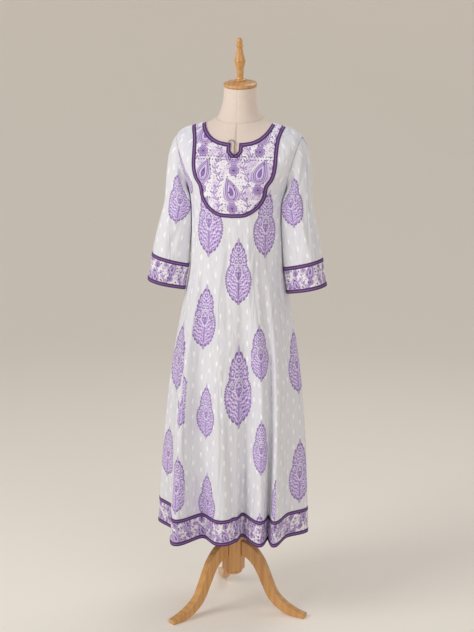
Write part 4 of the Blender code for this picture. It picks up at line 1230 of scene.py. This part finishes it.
def tube_points(numbers, turns):
    """The hanging sleeve; turn 0 is its front, a quarter turn its outer side."""
    size = sizes_at(SLEEVE_TUBE, np.asarray(numbers)[:, None], TUBE_COLUMNS[1:])
    ripple = size["fold"] * np.sin(SLEEVE_FOLDS * turns + SLEEVE_FOLD_TURN)
    across = (size["half_width"] + ripple) * np.sin(turns)
    y = size["y"] - (size["half_depth"] + ripple) * np.cos(turns)
    z = size["z"] + across * np.tan(np.radians(size["tilt_deg"]))
    return np.stack([size["x"] + across, y, z], -1)


def sleeve_skin(stations):
    """The right sleeve's outer surface. Stations -1 to 0 are its cap, from the armhole, and the rest
    are the rows of SLEEVE_TUBE. The columns start under the arm."""
    turns = 2 * math.pi * np.arange(SLEEVE_COLUMNS) / SLEEVE_COLUMNS - math.pi / 2
    y, z = armhole_points(turns, shrink=SEAM)
    armhole = np.stack([body_side(np.stack([y, z], -1)) + SEAM, y, z], -1)
    top = tube_points(np.array([0.0]), turns)[0]
    reach = np.linalg.norm(top - armhole, axis=-1, keepdims=True)
    up = np.maximum(0, np.sin(turns))
    leave = np.stack([np.ones_like(turns), 0 * turns, -CAP_DROOP * up], -1) * reach * CAP_SWELL
    arrive = np.stack([CAP_LEAN + 0 * turns, 0 * turns, -1 + 0 * turns], -1) * reach
    cap = np.minimum(stations, 0)[:, None, None] + 1
    points = np.where(stations[:, None, None] < 0, hermite(armhole, leave, top, arrive, cap),
                      tube_points(np.maximum(stations, 0), turns))
    normals = grid_normals(points, closed=True)
    sink = crease_depths(SLEEVE_CREASES, np.degrees(turns) % 360, SLEEVE_RADIUS, points[..., 2])
    free = eased((cap[..., 0] - CAP_SEWN) / CAP_FREED)
    points = points - normals * (sink * free)[..., None]
    limit = body_side(points[..., 1:]) + SEAM + (SLEEVE_CLEARANCE - SEAM) * free
    spare = points[..., 0] - limit
    pushed = limit + (spare + np.sqrt(spare ** 2 + SLEEVE_SOFTNESS ** 2)) / 2
    points[..., 0] += (pushed - points[..., 0]) * free
    return points


def on_side(points, side):
    """The right sleeve, or its mirror image with the columns running the same way round."""
    return points if side > 0 else (points * (-1, 1, 1))[:, ::-1]


def tube_prints(points, middle, zero_z, scale=(1.0, 1.0), aside=0.0):
    """UV values on a tube: measured round it from one column and down it from one height."""
    reach, fall = run_along(all_round(points), axis=1), run_along(points[:, middle])
    zero = np.interp(-zero_z, -points[:, middle, 2], fall)
    across = reach - reach[:, middle:middle + 1] - aside
    corners = face_corners(across, (zero - fall)[:, None])
    return {"weave": corners, "print": corners / scale}


def front_column(side):
    """The sleeve's column that faces the front."""
    quarter = SLEEVE_COLUMNS // 4
    return quarter if side > 0 else SLEEVE_COLUMNS - 1 - quarter


SIDES = (("left", -1), ("right", 1))
sleeve_cotton = printed_cotton("sleeve_cotton")
cap_stations = np.linspace(-1, 0, SLEEVE_ROWS)
sleeve_stations = np.concatenate([cap_stations[:-1], np.linspace(0, CUFF_SEAM, SLEEVE_ROWS)])
for side_name, side in SIDES:
    skin = on_side(sleeve_skin(sleeve_stations), side)
    draw_back(skin[-1], skin[-2])
    prints = tube_prints(skin, front_column(side), SLEEVE_MOTIF_Z, SLEEVE_MOTIF_SCALE,
                         -SLEEVE_MOTIF_ASIDE * side)
    make_cloth(f"cotton_sleeve_{side_name}", f"sleeve_{side_name}", sleeve_cotton,
               skin, True, prints)

# ---------------------------------------------------------------- printed bands
# A band of paisley cotton is seamed to the foot of each sleeve and of the skirt, front and back.
# It hangs on in the folds of the cloth above it.

BAND_ROWS = 16

band_cotton = paisley_cotton("paisley_band", 30, 26, scale=0.62, inked=1.0)
for side_name, side in SIDES:
    skin = on_side(sleeve_skin(np.linspace(CUFF_SEAM, CUFF_END, BAND_ROWS)), side)
    draw_back(skin[0], skin[1])
    front = front_column(side)
    prints = tube_prints(skin, front, skin[BAND_ROWS // 2, front, 2])
    make_cloth(f"paisley_cuff_{side_name}", f"cuff_band_{side_name}", band_cotton,
               skin, True, {"print": prints["print"]})

hem_skin = gown_skin(np.linspace(HEM_SEAM_RING, HEM_RING, BAND_ROWS))
draw_back(hem_skin[0], hem_skin[1])
for half, first, last in HALVES:
    skin = half_of(hem_skin, first, last)
    reach = run_along(skin, axis=1)
    corners = face_corners(reach - reach[:, -1:] / 2, skin[..., 2] - (HEM_Z + HEM_SEAM_Z) / 2)
    make_cloth(f"paisley_hem_{half}", f"hem_band_{half}", band_cotton,
               skin, False, {"print": corners})

# ---------------------------------------------------------------- purple tapes
# Woven purple tape, folded flat, with a groove down its middle. It is sewn over the cut edge of the
# neckline, round the yoke, and over the seam and the edge of each band.

TAPE_ROWS = 9
TAPE_STEP = 4.0
TAPE_EDGE_DEG = 70
CREST_Y = 5.0             # where a neckline crosses the shoulders, in front of their middle or behind
STITCH_LIFT = 0.1
TAPE_PROFILE = (0.5, 1.1, 1.2, 1.15, 0.75, 1.15, 1.2, 1.1, 0.5)


def purple_tape():
    """Dark purple thread across the tape, darker selvedges, and a paler line down its groove."""
    finish = Finish("purple_tape", {"Specular IOR Level": 0.25})
    along, across = uv_places(finish, "tape")
    away = abs(across - TRIM_WIDTH / 2)
    ribs = (along * 5.2).maths("SINE")
    edge = (away - 4.2).edge(1.6)
    groove = (1.0 - away).edge(0.9)
    grain_place = finish.node("CombineXYZ", {0: along * 0.5, 1: across * 2})
    grain = finish.node("TexNoise", {"Vector": grain_place, "Scale": 1.0, "Detail": 3.0})
    colour = finish.printed("512c69", (grain, "62397a"), (edge * 0.8, "381f4b"),
                            (groove * 0.7, "9d84b2"))
    return finish.show(colour, grain * 0.15 + 0.62, ribs * 0.3 + grain * 0.4 + 0.3, 0.0003, 0.6)


def tape_wall(name, base, normals, closed):
    """The tape as a closed solid on its own UV map, from the cloth's points under it."""
    rise = (np.array(TAPE_PROFILE) + SEAM)[:, None, None]
    outer, inner = base + normals * rise, base + normals * SEAM
    rows, columns = base.shape[:2]
    skin = rows * columns
    faces = grid_faces(rows, columns, closed)
    faces += [tuple(i + skin for i in face[::-1]) for face in faces]
    foot = (rows - 1) * columns
    for c in range(columns if closed else columns - 1):
        d = (c + 1) % columns
        faces += [(c, d, d + skin, c + skin), (foot + c, foot + c + skin, foot + d + skin, foot + d)]
    for r in range(0 if closed else rows - 1):
        a, b, last = r * columns, (r + 1) * columns, columns - 1
        faces += [(a, a + skin, b + skin, b), (a + last, b + last, b + last + skin, a + last + skin)]
    mesh = mesh_of(name, np.concatenate([outer.reshape(-1, 3), inner.reshape(-1, 3)]), faces)
    middle = outer[rows // 2]
    length = run_along(np.concatenate([middle, middle[:1]]) if closed else middle)
    values = np.zeros((len(mesh.loops), 2))
    for polygon in mesh.polygons:
        at = [mesh.loops[k].vertex_index % skin for k in polygon.loop_indices]
        wraps = closed and {columns - 1, 0} <= {i % columns for i in at}
        for k, i in zip(polygon.loop_indices, at):
            column = columns if wraps and i % columns == 0 else i % columns
            values[k] = length[column], TRIM_WIDTH * (i // columns) / (rows - 1)
    mesh.uv_layers.new(name="tape").data.foreach_set("uv", values.reshape(-1) * MM)
    mesh.set_sharp_from_angle(angle=math.radians(TAPE_EDGE_DEG))
    return mesh


tape_finish = purple_tape()
stitch_lines = {}


def make_tape(name, base, closed, node):
    """A tape on the cloth, with a line of stitches noted for each of its edges."""
    normals = grid_normals(base, closed)
    piece = add_piece(name, tape_wall(name, base, normals, closed), tape_finish)
    stitch_lines[name] = [
        (base[row] + normals[row] * (SEAM + TAPE_PROFILE[row] + STITCH_LIFT), closed)
        for row in (1, TAPE_ROWS - 2)]
    stand_for(piece, node)


def tape_rows(seam, above, end, below):
    """The rows of the tape over a band's seam and of the one at its edge."""
    half = TRIM_WIDTH / 2
    return (("upper", np.linspace(seam - half / above, seam + half / below, TAPE_ROWS)),
            ("lower", np.linspace(end - TRIM_WIDTH / below, end, TAPE_ROWS)))


for where, rows in tape_rows(CUFF_SEAM, ABOVE_CUFF_LENGTH, CUFF_END, CUFF_LENGTH):
    for side_name, side in SIDES:
        make_tape(f"cuff_tape_{where}_{side_name}", on_side(sleeve_skin(rows), side), True,
                  f"cuff_trim_{where}_{side_name}")
for where, rows in tape_rows(HEM_SEAM_RING, SHIN_Z - HEM_SEAM_Z, HEM_RING, HEM_SEAM_Z - HEM_Z):
    ring = gown_skin(rows)
    for half, first, last in HALVES:
        make_tape(f"hem_tape_{where}_{half}", half_of(ring, first, last), False,
                  f"hem_trim_{where}_{half}")


def on_bodice(places, front):
    """The points of the gown's surface seen at x and z from the front or the back, or past the crest
    of the shoulders the nearest to them."""
    way = 1 if front else -1
    made = []
    for x, z in places:
        hit = BODY.ray_cast(Vector((x, -FAR_OUT * way, z)), Vector((0, way, 0)))[0]
        made.append(hit or BODY.find_nearest(Vector((x, -CREST_Y * way, z)))[0])
    return np.array([tuple(p) for p in made])


def evenly(line):
    """The polyline with its long stretches split, and its corners kept."""
    made = [line[0]]
    for a, b in zip(line, line[1:]):
        count = max(1, round((b - a).length / TAPE_STEP))
        made += [a.lerp(b, (k + 1) / count) for k in range(count)]
    return made


def tape_on_line(name, line, inner, outer, front, node):
    """A tape between two lines offset from this one, which runs from left to right."""
    near, far = (offset_line(evenly(line), by) for by in (inner, outer))
    rows = []
    for share in np.linspace(0, 1, TAPE_ROWS):
        places = [tuple(a.lerp(b, share)) for a, b in zip(near, far)]
        rows.append(on_bodice(places if front else places[::-1], front))
    make_tape(name, np.array(rows), False, node)


tape_on_line("neck_tape_front", notched_neck(), 0, -TRIM_WIDTH, True, "neck_trim_front")
tape_on_line("neck_tape_back", smooth_half(BACK_NECK), 0, -TRIM_WIDTH, False, "neck_trim_back")
tape_on_line("yoke_tape", smooth_half(YOKE_LINE), TRIM_WIDTH / 2, -TRIM_WIDTH / 2, True, "yoke_trim")

# ---------------------------------------------------------------- stitches and beads
# Short violet stitches hold both edges of every tape. A string of grey glass beads is caught to the
# neckline's left corner and to the foot of the notch, where three dark beads are sewn on.

STITCH_SIZES = {"Pitch": 4.6, "Length": 3.2, "Thickness": 0.5}
BEAD_SIZES = {"Pitch": 3.2, "Length": 3.2, "Thickness": 3.3}
DARK_BEAD_SIZES = {"Pitch": 6.0, "Length": 4.8, "Thickness": 5.0}
BEAD_STRING = [(-17, 1471), (-17.5, 1479), (-10, 1483), (-2.5, 1479), (0.5, 1471), (-1, 1462),
               (1.5, 1454), (0.5, 1442)]
DARK_BEADS = [(-6.5, 1442), (0, 1437.5), (6.5, 1442)]
BEAD_LIFT = 2.6
BEAD_STRING_STEPS = 6
BEAD_SHAPE = {"Segments": 6, "Rings": 5, "Radius": 0.5}
SIZES_VARY = 0.06         # up and down, as a share


def strung_tree():
    """The node group that sets small ovals along lines, all of nearly one size."""
    tree = bpy.data.node_groups.new("strung", "GeometryNodeTree")
    kinds = {"Lines": "Geometry", "Pitch": "Float", "Length": "Float", "Thickness": "Float",
             "Seed": "Int", "Finish": "Material"}
    for name, kind in kinds.items():
        tree.interface.new_socket(name, in_out="INPUT", socket_type="NodeSocket" + kind)
    tree.interface.new_socket("Strung", in_out="OUTPUT", socket_type="NodeSocketGeometry")

    def node(kind, sockets=(), **settings):
        made = tree.nodes.new(kind)
        for name, value in settings.items():
            setattr(made, name, value)
        for name, value in dict(sockets).items():
            if isinstance(value, bpy.types.NodeSocket):
                tree.links.new(value, made.inputs[name])
            else:
                made.inputs[name].default_value = value
        return made.outputs

    given = node("NodeGroupInput")
    lines = node("GeometryNodeMeshToCurve", {"Mesh": given["Lines"]})[0]
    even = node("GeometryNodeResampleCurve", {"Curve": lines, "Length": given["Pitch"]},
                mode="LENGTH")[0]
    tangent = node("GeometryNodeInputTangent")[0]
    turn = node("FunctionNodeAlignRotationToVector", {"Vector": tangent}, axis="X")[0]
    spread = {"Min": (1 - SIZES_VARY,) * 3, "Max": (1 + SIZES_VARY,) * 3, "Seed": given["Seed"]}
    vary = node("FunctionNodeRandomValue", spread, data_type="FLOAT_VECTOR")[0]
    thickness = given["Thickness"]
    size = node("ShaderNodeCombineXYZ", {0: given["Length"], 1: thickness, 2: thickness})[0]
    size = node("ShaderNodeVectorMath", {0: size, 1: vary}, operation="MULTIPLY")[0]
    bead = node("GeometryNodeMeshUVSphere", BEAD_SHAPE)[0]
    smooth = node("GeometryNodeSetShadeSmooth", {0: bead})[0]
    placed = node("GeometryNodeInstanceOnPoints", {"Points": even, "Instance": smooth,
                                                   "Rotation": turn, "Scale": size})[0]
    real = node("GeometryNodeRealizeInstances", {0: placed})[0]
    finished = node("GeometryNodeSetMaterial", {"Geometry": real, "Material": given["Finish"]})[0]
    node("NodeGroupOutput", {"Strung": finished})
    return tree


STRUNG = strung_tree()


def strung_along(name, lines, sizes, finish, seed):
    """One piece of small ovals along lines in millimetres."""
    points = np.concatenate([line for line, _ in lines])
    edges, first = [], 0
    for line, closed in lines:
        last = first + len(line) - 1
        edges += [(k, k + 1) for k in range(first, last)] + [(last, first)] * closed
        first = last + 1
    holder = add_piece(name + "_line", mesh_of(name + "_line", points, [], edges), finish)
    modifier = holder.modifiers.new("strung", "NODES")
    modifier.node_group = STRUNG
    inputs = {row.name: row.identifier for row in STRUNG.interface.items_tree
              if row.in_out == "INPUT"}
    for key, value in sizes.items():
        modifier[inputs[key]] = value * MM
    modifier[inputs["Seed"]], modifier[inputs["Finish"]] = seed, finish
    seen = holder.evaluated_get(bpy.context.evaluated_depsgraph_get())
    mesh = bpy.data.meshes.new_from_object(seen)
    holder.modifiers.remove(modifier)
    bpy.data.objects.remove(holder)
    mesh.name = name
    piece = add_piece(name, mesh, finish)
    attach(piece, "root")
    return piece


def plain_finish(name, colour, roughness, metallic=0.0):
    """Thread or glass, too small for any pattern to show."""
    return Finish(name, {"Metallic": metallic, "Roughness": roughness}).show(colour)


thread = plain_finish("violet_thread", "7d5c98", 0.6)
for seed, (tape, lines) in enumerate(stitch_lines.items()):
    strung_along(tape + "_stitches", lines, STITCH_SIZES, thread, seed)

lift = np.array([0, -BEAD_LIFT, 0])
drape = smooth_line(BEAD_STRING, BEAD_STRING_STEPS)
strung_along("bead_string", [(on_bodice(drape, True) + lift, False)], BEAD_SIZES,
             plain_finish("grey_glass", "8d8992", 0.25, 0.5), seed=3)
strung_along("notch_beads", [(on_bodice(DARK_BEADS, True) + lift, False)], DARK_BEAD_SIZES,
             plain_finish("dark_glass", "2e2436", 0.2), seed=4)

# ---------------------------------------------------------------- tapes by piece of cloth
# The panels flare in gores, and the sleeves and cuffs go all round. The tapes are named with the
# pieces that they are sewn to, and their stitches are listed; no flat size is worked out here.


def declare_cut(tapes=()):
    """Lists the stitches of the tapes sewn to a sheet, and keeps nothing."""
    stitches = [tape + "_stitches" for tape in tapes if tape in stitch_lines]


declare_cut()
declare_cut(("neck_tape_back",))
declare_cut(("neck_tape_front", "yoke_tape", "bead_string", "notch_beads"))
for half, width in (("front", 0.95), ("back", 0.99)):
    declare_cut((f"hem_tape_upper_{half}", f"hem_tape_lower_{half}"))
for side_name, _ in SIDES:
    declare_cut()
for side_name, _ in SIDES:
    declare_cut((f"cuff_tape_upper_{side_name}", f"cuff_tape_lower_{side_name}"))
